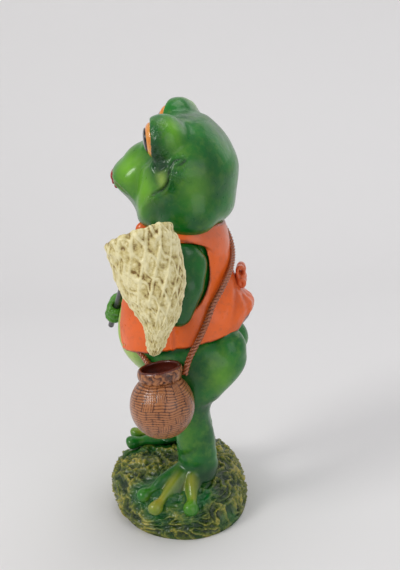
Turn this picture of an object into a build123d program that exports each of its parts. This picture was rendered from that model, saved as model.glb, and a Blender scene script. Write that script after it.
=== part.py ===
from build123d import *
import math
import os

# Fishing frog figurine, hand-painted cast resin. Millimetres, front is -Y, the frog's left is +X, +Z up.
# The origin lies on the flat underside of the mossy mound, below the middle of the body.

# Joints between castings
glue_gap = 0.15
pin_clearance = 0.1
cut_overrun = 5.0

# Mossy mound
mound_length = 102.0
mound_depth = 80.0
mound_height = 29.0
mound_centre = Vector(1.5, 4.3, 0)
mound_top_shift = Vector(-6.5, -9.5, 0)
mound_foot_share = 0.93
mound_belt_share = 0.23
mound_roundness = 3.5
mound_lobe_share = 0.03
mound_lobe_turn = 40

# Torso, from the crotch up into the neck
torso_bottom = 82.0
torso_height = 103.0
torso_depth = 70.0
torso_width = 70.0
# Rows hold the level, the centre, the half depth and the half width.
torso_shares = (
    (0.00, 0.115, 0.200, 0.230),
    (0.06, 0.075, 0.320, 0.360),
    (0.14, 0.065, 0.430, 0.450),
    (0.25, 0.070, 0.500, 0.490),
    (0.37, 0.078, 0.495, 0.490),
    (0.48, 0.092, 0.455, 0.470),
    (0.61, 0.125, 0.402, 0.440),
    (0.73, 0.165, 0.350, 0.410),
    (0.83, 0.200, 0.290, 0.355),
    (0.91, 0.214, 0.235, 0.257),
    (1.00, 0.214, 0.190, 0.200),
)

# Legs, from the ankle on the mound up into the haunch
leg_bottom = 20.0
leg_height = 102.0
haunch_depth = 62.0
haunch_width = 38.0
leg_spacing = 43.0
# Rows hold the level, the centre, the half depth, the sideways centre and the half width.
leg_shares = (
    (0.00, 0.21, 0.190, 0.50, 0.28),
    (0.13, 0.23, 0.184, 0.50, 0.27),
    (0.26, 0.22, 0.174, 0.52, 0.27),
    (0.37, 0.21, 0.168, 0.53, 0.27),
    (0.47, 0.20, 0.180, 0.53, 0.30),
    (0.58, 0.23, 0.355, 0.51, 0.41),
    (0.69, 0.25, 0.475, 0.46, 0.50),
    (0.80, 0.25, 0.490, 0.42, 0.51),
    (0.88, 0.22, 0.430, 0.40, 0.42),
    (1.00, 0.20, 0.240, 0.38, 0.24),
)
rod_diameter = 4.0
rod_bottom = 10.0
rod_top = 104.0
rod_side = 20.0
rod_front = 13.0

# Feet: three long toes with round tips and a web between them
heel_point = Vector(20.5, 14.0, 31.0)
left_toe_tips = (Vector(38.0, -16.5, 23.8), Vector(46.5, -8.5, 19.0), Vector(45.5, 10.5, 20.0))
right_toe_tips = (Vector(-13.0, -31.5, 31.0), Vector(-26.5, -29.5, 31.5), Vector(-38.0, -13.0, 28.0))
toe_root_radius = 5.0
toe_radius = 2.7
toe_ball_radius = 4.6
web_place_share = 0.42
web_width = 26.0
web_length = 27.0
web_thickness = 3.0

# Head: a skull with a muzzle, a chin and two jowls blended into it, and two eye bumps
head_centre = Vector(0, 17.5, 203.0)
head_width = 75.0
head_depth = 56.0
head_height = 69.0
head_tilt = 11.0
head_turn = -6.0
head_bottom_drop = 30.5
head_blend = 2.6
head_level_shares = (-1.0, -0.85, -0.6, -0.3, 0.0, 0.3, 0.58, 0.8, 0.92)
muzzle_place = Vector(0, -24.5, -0.5)
muzzle_size = Vector(42.0, 41.0, 27.0)
chin_place = Vector(0, -16.0, -14.5)
chin_size = Vector(46.0, 36.0, 27.0)
jowl_place = Vector(19.5, -13.5, -15.0)
jowl_size = Vector(28.0, 28.0, 26.0)
bump_place = Vector(20.5, -7.5, 23.5)
bump_radius = 14.0

# Eyes, set in the front of the bumps
eye_place = Vector(21.5, -16.5, 23.0)
eye_diameter = 20.5
eye_rise = 5.0
eye_seat = 4.0
eye_splay = 14.0
pupil_diameter = 12.5
pupil_thickness = 0.8

# Lips at the tip of the muzzle
upper_lip_place = Vector(0, -43.6, 0.9)
lower_lip_place = Vector(0, -42.6, -3.9)
lip_size = Vector(20.0, 8.0, 4.6)

# Vest, a thin coat over the torso that flares towards its hem
vest_bottom = 98.0
vest_height = 80.0
vest_thickness = 2.0
hem_level = 108.0
hem_slope = 8.0
collar_level = 176.0
collar_slope = 6.0
# Rows hold the level, the centre, the half depth and the half width, in shares of the torso's depth and width.
vest_shares = (
    (0.00, 0.105, 0.530, 0.530),
    (0.16, 0.120, 0.550, 0.538),
    (0.30, 0.138, 0.562, 0.532),
    (0.42, 0.120, 0.520, 0.515),
    (0.54, 0.116, 0.462, 0.490),
    (0.67, 0.136, 0.422, 0.468),
    (0.80, 0.178, 0.362, 0.430),
    (0.90, 0.205, 0.312, 0.375),
    (1.00, 0.216, 0.262, 0.300),
)
front_gap = 38.0
front_gap_top = 20.0
armhole_centre = Vector(0, 13.0, 152.0)
armhole_width = 30.0
armhole_height = 46.0

# Bow that gathers the vest at the small of the back: a knot and two lobes on each side, with a hole through each pair
bow_centre = Vector(0, 44.4, 141.0)
bow_knot_radius = 3.0
bow_upper_lobe = Vector(2.7, 0.2, 3.5)
bow_lower_lobe = Vector(2.7, 0.2, -3.5)
bow_lobe_radius = 3.0
bow_hole_radius = 1.2
bow_hole_back = 0.5
bow_hole_level_share = 1.17

# Arms: shoulder, elbow and wrist points with their radii; the right arm has its own elbow and wrist
shoulder_point = Vector(29.5, 17.0, 155.0)
shoulder_radius = 10.5
left_mid_point = Vector(38.5, 16.0, 145.0)
left_elbow_point = Vector(41.0, 11.0, 132.0)
left_wrist_point = Vector(35.5, -10.0, 149.0)
right_mid_point = Vector(-38.5, 11.0, 143.0)
right_elbow_point = Vector(-40.0, 0, 130.0)
right_wrist_point = Vector(-22.0, -28.0, 124.5)
arm_radius = 9.5
elbow_radius = 8.2
wrist_radius = 5.6
shoulder_pin_diameter = 4.0
shoulder_pin_length = 22.0

# Landing net: pole, hoop and bag
pole_low_end = Vector(-18.0, -38.8, 108.5)
pole_high_end = Vector(46.0, -7.7, 173.5)
pole_diameter = 3.6
right_hand_share = 0.19
left_hand_share = 0.74
palm_diameter = 14.0
palm_offset = 6.2
palm_turn = 180
finger_radius = 2.1
finger_pitch = 4.6
finger_bite = 0.4
hoop_centre = Vector(60.0, -4.8, 177.0)
hoop_width = 32.0
hoop_span = 28.0
hoop_cord = 4.4
mouth_rise = 19.0
mouth_lean = 15.0
bag_wall = 2.4
bag_bottom = 112.5
bag_floor_row = 2
# Rows hold the height above the tip, the sideways shift, the centre, the half width and the half span.
bag_shares = (
    (0.000, -0.11, 0.10, 0.050, 0.055),
    (0.055, -0.10, 0.11, 0.115, 0.125),
    (0.160, -0.08, 0.16, 0.190, 0.200),
    (0.340, -0.03, 0.21, 0.330, 0.310),
    (0.500, 0.00, 0.22, 0.470, 0.410),
    (0.660, 0.00, 0.18, 0.550, 0.480),
)

# Fish basket, a round pot with a neck and a flared rim
basket_centre = Vector(47.0, -0.2, 78.5)
basket_diameter = 35.5
basket_height = 40.0
basket_wall = 2.2
neck_diameter = 20.5
rim_diameter = 25.0
rim_swell = 0.6
basket_tilt = 0
basket_flat_diameter = 12.0

# Shoulder strap: a cast cord that goes from the basket round the back, over the right shoulder and down the front
strap_diameter = 2.8
strap_standoff = 1.1
# Rows hold the level as a share of the vest's height and the direction in degrees, from +X towards +Y.
strap_shares = (
    (0.23, 19.0),
    (0.33, 28.0),
    (0.43, 38.0),
    (0.53, 52.0),
    (0.63, 69.0),
    (0.73, 90.0),
    (0.84, 109.0),
    (0.92, 131.0),
    (0.955, 157.0),
    (0.94, 184.0),
    (0.88, 209.0),
    (0.80, 231.0),
    (0.72, 252.0),
    (0.64, 270.0),
    (0.56, 286.0),
    (0.46, 299.0),
    (0.35, 308.0),
    (0.23, 316.0),
    (0.12, 324.0),
)
strap_arc_share = 0.45
strap_back_offsets = (Vector(-3.0, 14.4, 19.0), Vector(-6.0, 16.0, 27.0))
strap_front_offsets = (Vector(-8.5, -14.0, 25.5), Vector(-4.5, -14.3, 18.5))

neck_pin_diameter = 6.0
neck_pin_length = 36.0

body_steps = 12
oval_points = 12
mound_points = 18
head_points = 24
cord_sides = 8


def side(point, sign):
    return Vector(sign * point.X, point.Y, point.Z)


def oval(centre, across, along, half_across, half_along):
    points = []
    for step in range(oval_points):
        turn = 2 * math.pi * step / oval_points
        points.append(centre + across * (half_across * math.cos(turn)) + along * (half_along * math.sin(turn)))
    return make_face(Spline(*points, periodic=True))


def even_rows(rows, steps):
    # Rows at even levels, read from the table by a smooth cubic
    slopes = []
    for index in range(len(rows)):
        low = rows[max(index - 1, 0)]
        high = rows[min(index + 1, len(rows) - 1)]
        slopes.append([(b - a) / (high[0] - low[0]) for a, b in zip(low[1:], high[1:])])
    result = []
    index = 0
    for step in range(steps + 1):
        level = rows[0][0] + (rows[-1][0] - rows[0][0]) * step / steps
        while index < len(rows) - 2 and rows[index + 1][0] < level:
            index += 1
        span = rows[index + 1][0] - rows[index][0]
        part = (level - rows[index][0]) / span
        values = []
        for a, b, rise, fall in zip(rows[index][1:], rows[index + 1][1:], slopes[index], slopes[index + 1]):
            bend = (1 + 2 * part) * (1 - part) ** 2 * a + part ** 2 * (3 - 2 * part) * b
            values.append(bend + span * (part * (1 - part) ** 2 * rise - part ** 2 * (1 - part) * fall))
        result.append((level, *values))
    return result


def level_oval(centre_x, centre_y, level, half_width, half_depth):
    return oval(Vector(centre_x, centre_y, level), Vector(1, 0, 0), Vector(0, 1, 0), half_width, half_depth)


def ellipsoid(centre, size):
    return Pos(centre) * scale(Sphere(1), by=(size.X / 2, size.Y / 2, size.Z / 2))


def rod(start, end, radius):
    axis = end - start
    return Plane(origin=start, z_dir=axis) * Cylinder(radius, axis.length, align=(Align.CENTER, Align.CENTER, Align.MIN))


def limb_pieces(stations):
    # Tapered rods between balls, one for each (point, radius) station
    pieces = [Pos(stations[0][0]) * Sphere(stations[0][1])]
    for (start, start_radius), (end, end_radius) in zip(stations, stations[1:]):
        axis = end - start
        taper = Cone(start_radius, end_radius, axis.length, align=(Align.CENTER, Align.CENTER, Align.MIN))
        pieces.append(Plane(origin=start, z_dir=axis) * taper)
        pieces.append(Pos(end) * Sphere(end_radius))
    return pieces


# Mound

def mound(grow=0):
    faces = []
    for share in (0.0, 0.5 * mound_belt_share, mound_belt_share, 0.5, 0.75, 0.9, 0.97, 0.995):
        if share < mound_belt_share:
            width = mound_foot_share + (1 - mound_foot_share) * math.sin(math.pi / 2 * share / mound_belt_share)
        else:
            climb = (share - mound_belt_share) / (1 - mound_belt_share)
            width = (1 - climb ** mound_roundness) ** (1 / mound_roundness)
        centre = mound_centre + mound_top_shift * share
        points = []
        for step in range(mound_points):
            turn = 2 * math.pi * step / mound_points
            lobe = 1 + mound_lobe_share * math.cos(3 * (turn - math.radians(mound_lobe_turn)))
            x = (mound_length / 2 * width * lobe + grow) * math.cos(turn)
            y = (mound_depth / 2 * width * lobe + grow) * math.sin(turn)
            points.append(centre + Vector(x, y, share * mound_height + grow * share))
        faces.append(make_face(Spline(*points, periodic=True)))
    return loft(faces)


# Torso, legs and their rods

def torso(grow=0):
    faces = []
    for level, centre, depth, width in even_rows(torso_shares, body_steps):
        height = torso_bottom + level * torso_height + grow * (2 * level - 1)
        faces.append(level_oval(0, centre * torso_depth, height, width * torso_width + grow, depth * torso_depth + grow))
    return loft(faces)


def leg(sign, grow=0):
    faces = []
    for level, centre, depth, across, width in even_rows(leg_shares, body_steps):
        height = leg_bottom + level * leg_height + grow * (2 * level - 1)
        faces.append(
            level_oval(
                sign * across * leg_spacing,
                centre * haunch_depth,
                height,
                width * haunch_width + grow,
                depth * haunch_depth + grow,
            )
        )
    return loft(faces)


def leg_rod(sign, grow=0):
    start = Vector(sign * rod_side, rod_front, rod_bottom - grow)
    end = Vector(sign * rod_side, rod_front, rod_top + grow)
    return rod(start, end, rod_diameter / 2 + grow)


# Feet

def foot(sign, grow=0):
    heel = side(heel_point, sign)
    tips = left_toe_tips if sign > 0 else right_toe_tips
    shape = Pos(heel) * Sphere(toe_root_radius + grow)
    for tip in tips:
        axis = tip - heel
        taper = Cone(
            toe_root_radius + grow,
            toe_radius + grow,
            axis.length,
            align=(Align.CENTER, Align.CENTER, Align.MIN),
        )
        shape += Plane(origin=heel, z_dir=axis) * taper
        shape += Pos(tip) * Sphere(toe_ball_radius + grow)
    first, middle, last = tips
    normal = (first - heel).cross(last - heel).normalized() * sign
    centre = heel + (middle - heel) * web_place_share
    web = scale(Sphere(1), by=(web_width / 2 + grow, web_length / 2 + grow, web_thickness / 2 + grow))
    return shape + Plane(origin=centre, x_dir=(last - first).normalized(), z_dir=normal) * web


# Head

def head_masses():
    masses = [
        (Vector(0, 0, 0), Vector(head_width, head_depth, head_height)),
        (muzzle_place, muzzle_size),
        (chin_place, chin_size),
    ]
    for sign in (1, -1):
        masses.append((side(jowl_place, sign), jowl_size))
    return masses


def head_distance(point):
    # Smooth union of the masses, negative inside
    total = 0
    for centre, size in head_masses():
        scaled = [(p - c) / (s / 2) for p, c, s in zip(point, centre, size)]
        reach = math.sqrt(sum(value * value for value in scaled))
        slope = math.sqrt(sum((value / (s / 2)) ** 2 for value, s in zip(scaled, size)))
        total += math.exp(-reach * (reach - 1) / slope / head_blend)
    return -head_blend * math.log(total)


def head_reach(level, turn):
    low = 0.0
    high = head_depth
    for halving in range(22):
        middle = (low + high) / 2
        point = Vector(middle * math.cos(turn), muzzle_place.Y / 4 + middle * math.sin(turn), level)
        if head_distance(point) > 0:
            high = middle
        else:
            low = middle
    return low


def head_loft(grow=0):
    faces = []
    for share in head_level_shares:
        level = share * (head_height / 2 if share > 0 else head_bottom_drop)
        points = []
        for step in range(head_points):
            turn = 2 * math.pi * step / head_points
            reach = head_reach(level, turn) + grow
            points.append(Vector(reach * math.cos(turn), muzzle_place.Y / 4 + reach * math.sin(turn), level))
        faces.append(make_face(Spline(*points, periodic=True)))
    return loft(faces)


def on_head(shape):
    return Pos(head_centre) * Rot(0, 0, head_turn) * Rot(0, head_tilt, 0) * shape


def eye_plane(sign):
    return Pos(side(eye_place, sign)) * Rot(0, 0, sign * eye_splay)


def eye(sign, grow=0):
    # A domed disc: a flat back, a short round side and a spherical front
    rim = eye_diameter / 2 + grow
    rise = eye_rise + grow
    back = -eye_seat - grow
    dome = (rim ** 2 + rise ** 2) / (2 * rise)
    half_turn = math.asin(rim / dome) / 2
    outline = Line((0, back), (rim, back))
    outline += Line((rim, back), (rim, 0))
    outline += ThreePointArc((rim, 0), (dome * math.sin(half_turn), rise - dome * (1 - math.cos(half_turn))), (0, rise))
    outline += Line((0, rise), (0, back))
    return eye_plane(sign) * Rot(90, 0, 0) * revolve(Plane.XZ * make_face(outline), axis=Axis.Z)


def pupil(sign):
    disc = Cylinder(pupil_diameter / 2, 2 * eye_rise, align=(Align.CENTER, Align.CENTER, Align.MIN))
    skin = eye(sign, grow=pupil_thickness) & (eye_plane(sign) * Rot(90, 0, 0) * disc)
    return skin - eye(sign, grow=glue_gap / 2)


def lip(place, grow=0):
    return ellipsoid(place, lip_size + Vector(grow, grow, grow) * 2)


def head_skin():
    shape = head_loft()
    for sign in (1, -1):
        shape += Pos(side(bump_place, sign)) * Sphere(bump_radius)
    return shape


# Vest

def vest_form(grow=0):
    faces = []
    for level, centre, depth, width in even_rows(vest_shares, body_steps):
        height = vest_bottom + level * vest_height
        faces.append(level_oval(0, centre * torso_depth, height, width * torso_width + grow, depth * torso_depth + grow))
    return loft(faces)


def half_space(level, slope, above):
    size = 4 * torso_depth
    block = Box(size, size, size, align=(Align.CENTER, Align.CENTER, Align.MIN if above else Align.MAX))
    return Pos(0, 0, level) * Rot(slope, 0, 0) * block


def front_opening():
    reach = torso_depth
    outline = Polyline(
        (-front_gap / 2, vest_bottom - cut_overrun),
        (front_gap / 2, vest_bottom - cut_overrun),
        (front_gap_top / 2, collar_level + 2 * cut_overrun),
        (-front_gap_top / 2, collar_level + 2 * cut_overrun),
        close=True,
    )
    return extrude(Plane.XZ * make_face(outline), amount=reach)


def armhole(sign):
    hole = Rot(0, sign * 90, 0) * extrude(Ellipse(armhole_height / 2, armhole_width / 2), amount=torso_width)
    return Pos(armhole_centre) * hole


def vest():
    shape = vest_form() - vest_form(grow=-vest_thickness) - torso(grow=glue_gap)
    shape -= half_space(hem_level, hem_slope, above=False)
    shape -= half_space(collar_level, -collar_slope, above=True)
    shape -= front_opening()
    for sign in (1, -1):
        shape -= armhole(sign)
    return shape


def vest_reach(level_share, turn):
    # Point of the vest's outer surface at a level and a direction
    rows = vest_shares
    index = 1
    while index < len(rows) - 1 and rows[index][0] < level_share:
        index += 1
    low = rows[index - 1]
    high = rows[index]
    part = (level_share - low[0]) / (high[0] - low[0])
    centre, depth, width = [a + (b - a) * part for a, b in zip(low[1:], high[1:])]
    x = width * torso_width * math.cos(turn)
    y = depth * torso_depth * math.sin(turn)
    normal = Vector(math.cos(turn) / width, math.sin(turn) / depth, 0).normalized()
    return Vector(x, centre * torso_depth + y, vest_bottom + level_share * vest_height), normal


def bow():
    shape = Pos(bow_centre) * Sphere(bow_knot_radius)
    lobes = (bow_upper_lobe, bow_lower_lobe)
    for sign in (1, -1):
        for lobe in lobes:
            shape += Pos(bow_centre + side(lobe, sign)) * Sphere(bow_lobe_radius)
    for lobe in lobes:
        place = bow_centre + Vector(0, bow_hole_back, lobe.Z * bow_hole_level_share)
        shape -= Pos(place) * Rot(0, 90, 0) * Cylinder(bow_hole_radius, torso_width)
    return shape


# Arms and hands

def arm_pieces(sign, grow=0):
    if sign > 0:
        middle, elbow, wrist = left_mid_point, left_elbow_point, left_wrist_point
    else:
        middle, elbow, wrist = right_mid_point, right_elbow_point, right_wrist_point
    stations = [
        (side(shoulder_point, sign), shoulder_radius + grow),
        (middle, arm_radius + grow),
        (elbow, elbow_radius + grow),
        ((elbow + wrist) * 0.5, (elbow_radius + wrist_radius) / 2 + grow),
        (wrist, wrist_radius + grow),
    ]
    return limb_pieces(stations)


def arm(sign, cutter):
    # Each piece is cut before they are joined
    pieces = [piece - cutter for piece in arm_pieces(sign)]
    shape = pieces[0]
    for piece in pieces[1:]:
        shape += piece
    return shape


def shoulder_pin(sign, grow=0):
    start = side(shoulder_point, sign)
    inner = start - Vector(sign * (shoulder_pin_length + grow), 0, 0)
    return rod(start, inner, shoulder_pin_diameter / 2 + grow)


def pole(grow=0):
    return rod(pole_low_end, pole_high_end, pole_diameter / 2 + grow)


def grip_plane(share, wrist):
    axis = (pole_high_end - pole_low_end).normalized()
    point = pole_low_end + (pole_high_end - pole_low_end) * share
    towards = wrist - point
    towards -= axis * towards.dot(axis)
    return Plane(origin=point, x_dir=towards, z_dir=axis)


def grip(sign):
    if sign > 0:
        return grip_plane(left_hand_share, left_wrist_point)
    return grip_plane(right_hand_share, right_wrist_point)


def palm(sign, grow=0):
    return grip(sign) * Pos(palm_offset, 0, 0) * Rot(0, 0, palm_turn) * Sphere(palm_diameter / 2 + grow)


def hand(sign, cutter):
    # A round palm beside the pole and three fingers closed round it
    ring = pole_diameter / 2 + finger_radius - finger_bite
    shape = palm(sign)
    for place in (-1, 0, 1):
        shape += grip(sign) * Pos(0, 0, place * finger_pitch) * Torus(ring, finger_radius)
    shape = shape - pole(grow=glue_gap) - cutter
    for piece in arm_pieces(sign, grow=glue_gap)[-2:]:
        shape -= piece
    return shape


def finger_room(sign):
    reach = pole_diameter / 2 + 2 * finger_radius - finger_bite + glue_gap
    return grip(sign) * Cylinder(reach, 3 * finger_pitch)


# Net

def mouth_axes():
    across = Vector(0, math.cos(math.radians(mouth_rise)), math.sin(math.radians(mouth_rise)))
    outward = Vector(math.cos(math.radians(mouth_lean)), 0, math.sin(math.radians(mouth_lean)))
    return outward, across


def net_form(grow=0):
    # A negative growth gives the hollow, which starts above the solid tip
    outward, across = mouth_axes()
    drop = hoop_centre.Z - bag_bottom
    rows = bag_shares if grow >= 0 else bag_shares[bag_floor_row:]
    faces = []
    for rise, shift, centre, width, span in rows:
        point = Vector(
            hoop_centre.X + shift * hoop_span,
            hoop_centre.Y + centre * hoop_width,
            bag_bottom + rise * drop - grow * (1 - rise),
        )
        lean = rise ** 3
        first = Vector(1, 0, 0) * (1 - lean) + outward * lean
        second = Vector(0, 1, 0) * (1 - lean) + across * lean
        faces.append(oval(point, first, second, span * hoop_span + grow, width * hoop_width + grow))
    faces.append(oval(hoop_centre, outward, across, hoop_span / 2 + grow, hoop_width / 2 + grow))
    return loft(faces)


def hoop(grow=0):
    outward, across = mouth_axes()
    turns = 2 * oval_points
    points = []
    for step in range(turns):
        turn = 2 * math.pi * step / turns
        ring = outward * (hoop_span / 2 * math.cos(turn)) + across * (hoop_width / 2 * math.sin(turn))
        points.append(hoop_centre + ring)
    path = Spline(*points, periodic=True)
    section = Plane(origin=path @ 0, z_dir=path % 0) * RegularPolygon(hoop_cord / 2 + grow, cord_sides)
    return sweep(section, path=path)


def net_bag():
    return net_form() - net_form(grow=-bag_wall) - hoop(grow=glue_gap)


# Basket

def basket_place(shape):
    return Pos(basket_centre) * Rot(basket_tilt, 0, 0) * shape


def basket_outline(inset):
    # Half outline of the pot from its flat bottom, round the belly and the neck, up to the rim
    belly = basket_diameter / 2 - inset
    neck = neck_diameter / 2 - inset
    rim = rim_diameter / 2 - inset
    flat = basket_flat_diameter / 2
    low = -math.sqrt(belly ** 2 - flat ** 2)
    neck_level = math.sqrt(belly ** 2 - neck ** 2)
    top = basket_height + -basket_diameter / 2
    swell = Vector(rim + rim_swell, (neck_level + top) / 2)
    outline = Line((0, low), (flat, low))
    outline += ThreePointArc((flat, low), (belly, 0), (neck, neck_level))
    outline += ThreePointArc((neck, neck_level), (swell.X, swell.Y), (rim, top))
    outline += Line((rim, top), (0, top))
    outline += Line((0, top), (0, low))
    return Plane.XZ * make_face(outline)


def basket(grow=0, hollow=True):
    shape = revolve(basket_outline(-grow), axis=Axis.Z)
    if hollow:
        shape -= revolve(basket_outline(basket_wall), axis=Axis.Z)
    return basket_place(shape)


# Strap

def strap_points():
    lift = strap_diameter / 2 + strap_standoff
    points = [basket_centre + offset for offset in strap_back_offsets]
    for level, degrees in strap_shares:
        place, normal = vest_reach(level, math.radians(degrees))
        points.append(place + normal * lift)
    points += [basket_centre + offset for offset in strap_front_offsets]
    return points


def strap():
    points = strap_points()
    radii = []
    for before, corner, after in zip(points, points[1:], points[2:]):
        turn = math.radians((corner - before).get_angle(after - corner))
        shorter = min((corner - before).length, (after - corner).length)
        radii.append(strap_arc_share * shorter / math.tan(turn / 2))
    path = FilletPolyline(*points, radius=radii)
    section = Plane(origin=path @ 0, z_dir=path % 0) * RegularPolygon(strap_diameter / 2, cord_sides)
    tube = sweep(section, path=path)
    print("strap length", round(path.length, 1), "least arc", round(min(radii), 1))
    print("strap volume", round(tube.volume, 1), "of", round(path.length * section.area, 1))
    return tube


def neck_pin(grow=0):
    middle = Vector(0, torso_shares[-1][1] * torso_depth, head_centre.Z - head_bottom_drop)
    half = Vector(0, 0, neck_pin_length / 2 + grow)
    return rod(middle - half, middle + half, neck_pin_diameter / 2 + grow)


def build():
    parts = {}
    signs = {"left": 1, "right": -1}

    core = torso()
    ground = mound()
    grown_torso = torso(grow=glue_gap)
    grown_mound = mound(grow=2 * glue_gap)
    basket_seat = basket(grow=glue_gap, hollow=False)
    above_neck = on_head(half_space(-head_bottom_drop - glue_gap, 0, above=True))
    core = core - above_neck - neck_pin(grow=pin_clearance)
    vest_cuts = [above_neck, pole(grow=glue_gap)]

    for name, sign in signs.items():
        rod_hole = leg_rod(sign, grow=pin_clearance)
        pin_hole = shoulder_pin(sign, grow=pin_clearance)
        ground -= rod_hole
        core -= rod_hole
        core -= pin_hole
        parts[name + "_leg_rod"] = leg_rod(sign)
        parts[name + "_shoulder_pin"] = shoulder_pin(sign)
        limb_shape = leg(sign) - grown_torso - grown_mound - rod_hole
        if sign > 0:
            limb_shape -= basket_seat
        parts[name + "_leg"] = limb_shape.solids().sort_by(SortBy.VOLUME)[-1]
        parts[name + "_foot"] = foot(sign) - grown_mound - leg(sign, grow=glue_gap)
        parts[name + "_arm"] = arm(sign, grown_torso) - pin_hole
        parts[name + "_hand"] = hand(sign, grown_torso)
        vest_cuts += arm_pieces(sign, grow=glue_gap)
        vest_cuts += [palm(sign, grow=glue_gap), finger_room(sign)]

    skull = head_skin()
    for sign in signs.values():
        skull -= eye(sign, grow=glue_gap)
    for place in (upper_lip_place, lower_lip_place):
        skull -= lip(place, grow=glue_gap)
    parts["head"] = on_head(skull) - neck_pin(grow=pin_clearance)
    for name, sign in signs.items():
        parts[name + "_eye"] = on_head(eye(sign))
        parts[name + "_pupil"] = on_head(pupil(sign))
    parts["upper_lip"] = on_head(lip(upper_lip_place))
    parts["lower_lip"] = on_head(lip(lower_lip_place) - lip(upper_lip_place, grow=glue_gap))

    coat = vest()
    for cut in vest_cuts:
        coat -= cut
    parts["vest"] = coat
    parts["vest_bow"] = bow()

    parts["base_mound"] = ground
    parts["torso"] = core
    parts["neck_pin"] = neck_pin()
    parts["net_pole"] = pole() - hoop(grow=glue_gap)
    parts["net_hoop"] = hoop()
    parts["net_bag"] = net_bag()
    parts["basket"] = basket()
    parts["shoulder_strap"] = strap() - pole(grow=glue_gap)
    return parts


os.makedirs("parts", exist_ok=True)
for node, shape in build().items():
    solids = shape.solids()
    export_step(Compound(children=solids) if len(solids) > 1 else solids[0], "parts/" + node + ".step")
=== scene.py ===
import math
import bpy
import numpy as np
from mathutils import Matrix, Vector, noise
from mathutils.bvhtree import BVHTree
from mathutils.kdtree import KDTree


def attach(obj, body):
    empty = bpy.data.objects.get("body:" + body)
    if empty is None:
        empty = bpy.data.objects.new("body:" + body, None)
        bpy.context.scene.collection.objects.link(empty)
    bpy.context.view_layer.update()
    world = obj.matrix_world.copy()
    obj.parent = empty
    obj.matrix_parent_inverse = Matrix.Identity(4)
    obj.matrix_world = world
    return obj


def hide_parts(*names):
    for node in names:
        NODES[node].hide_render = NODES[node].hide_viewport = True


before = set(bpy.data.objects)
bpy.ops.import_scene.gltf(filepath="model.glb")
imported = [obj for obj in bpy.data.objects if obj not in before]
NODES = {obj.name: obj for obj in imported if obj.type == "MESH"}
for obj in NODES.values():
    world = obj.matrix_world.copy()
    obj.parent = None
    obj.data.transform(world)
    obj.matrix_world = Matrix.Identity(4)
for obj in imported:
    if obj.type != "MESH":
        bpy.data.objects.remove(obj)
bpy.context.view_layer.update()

# A cast resin frog on a mossy mound. Lengths are millimetres until a mesh is made; lamps and backdrop are in metres.
MM = 0.001
BOTH = (1, -1)  # left side, right side
SOFTENING = 0.6  # how far a round of softening moves a point towards the mean of its neighbours
ROUND_END = ((0.45, 0.89), (0.8, 0.6), (0.97, 0.25))  # reach and width of a tube's round end, as shares of its radius


def pick(full):
    return full


# Mesh helpers

def mesh_arrays(mesh):
    points = np.zeros(len(mesh.vertices) * 3)
    mesh.vertices.foreach_get("co", points)
    return points.reshape(-1, 3) / MM, [tuple(p.vertices) for p in mesh.polygons]


def arrays(name):
    return mesh_arrays(NODES[name].data)


def make(name, points, faces):
    mesh = bpy.data.meshes.new(name)
    mesh.from_pydata((np.asarray(points) * MM).tolist(), [], [tuple(int(i) for i in f) for f in faces])
    mesh.validate()
    mesh.update()
    mesh.polygons.foreach_set("use_smooth", [True] * len(mesh.polygons))
    piece = bpy.data.objects.new(name, mesh)
    bpy.context.scene.collection.objects.link(piece)
    return piece


def join(parts):
    points, faces, start = [], [], 0
    for some_points, some_faces in parts:
        points.append(np.asarray(some_points))
        faces += [tuple(i + start for i in f) for f in some_faces]
        start += len(some_points)
    return np.concatenate(points), faces


def remesh(name, parts, voxel):
    # One skin round several overlapping closed forms
    rough = make(name + "_rough", *join(parts))
    tool = rough.modifiers.new("voxels", "REMESH")
    tool.mode = "VOXEL"
    tool.voxel_size = voxel * MM
    graph = bpy.context.evaluated_depsgraph_get()
    mesh = bpy.data.meshes.new_from_object(rough.evaluated_get(graph))
    skin = Skin(*mesh_arrays(mesh))
    bpy.data.objects.remove(rough)
    bpy.data.meshes.remove(mesh)
    return skin


class Skin:
    # Points and faces with the few tools that shape them
    def __init__(self, points, faces):
        self.p = np.asarray(points, float)
        self.faces = [tuple(int(i) for i in f) for f in faces]
        pairs = set()
        for f in self.faces:
            for a, b in zip(f, f[1:] + f[:1]):
                pairs.add((a, b) if a < b else (b, a))
        self.edges = np.array(sorted(pairs))
        self.count = np.bincount(self.edges.ravel(), minlength=len(self.p)).astype(float)
        self.marks = {}

    def neighbours_mean(self):
        total = np.zeros_like(self.p)
        np.add.at(total, self.edges[:, 0], self.p[self.edges[:, 1]])
        np.add.at(total, self.edges[:, 1], self.p[self.edges[:, 0]])
        return total / np.maximum(self.count, 1)[:, None]

    def soften(self, rounds, weight=1.0):
        # Moves each point towards the mean of its neighbours; a weight for each point keeps it to a region
        weight = np.asarray(weight, float)
        if weight.ndim == 1:
            weight = weight[:, None]
        for _ in range(rounds):
            self.p = self.p + SOFTENING * weight * (self.neighbours_mean() - self.p)

    def normals(self):
        # The few faces that aren't quads are flat caps and don't count
        quads = np.array([f for f in self.faces if len(f) == 4])
        flat = np.cross(self.p[quads[:, 2]] - self.p[quads[:, 0]], self.p[quads[:, 3]] - self.p[quads[:, 1]])
        total = np.zeros_like(self.p)
        for corner in range(4):
            np.add.at(total, quads[:, corner], flat)
        return total / np.maximum(np.linalg.norm(total, axis=1, keepdims=True), 1e-9)

    def push(self, amount):
        self.p = self.p + self.normals() * np.asarray(amount)[:, None]

    def piece(self, name, replaces, slot, material):
        made = make(name, self.p, self.faces)
        for mark, values in self.marks.items():
            layer = made.data.attributes.new(mark, "FLOAT", "POINT")
            layer.data.foreach_set("value", np.asarray(values, np.float32))
        finish_piece(made, replaces, material)


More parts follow.
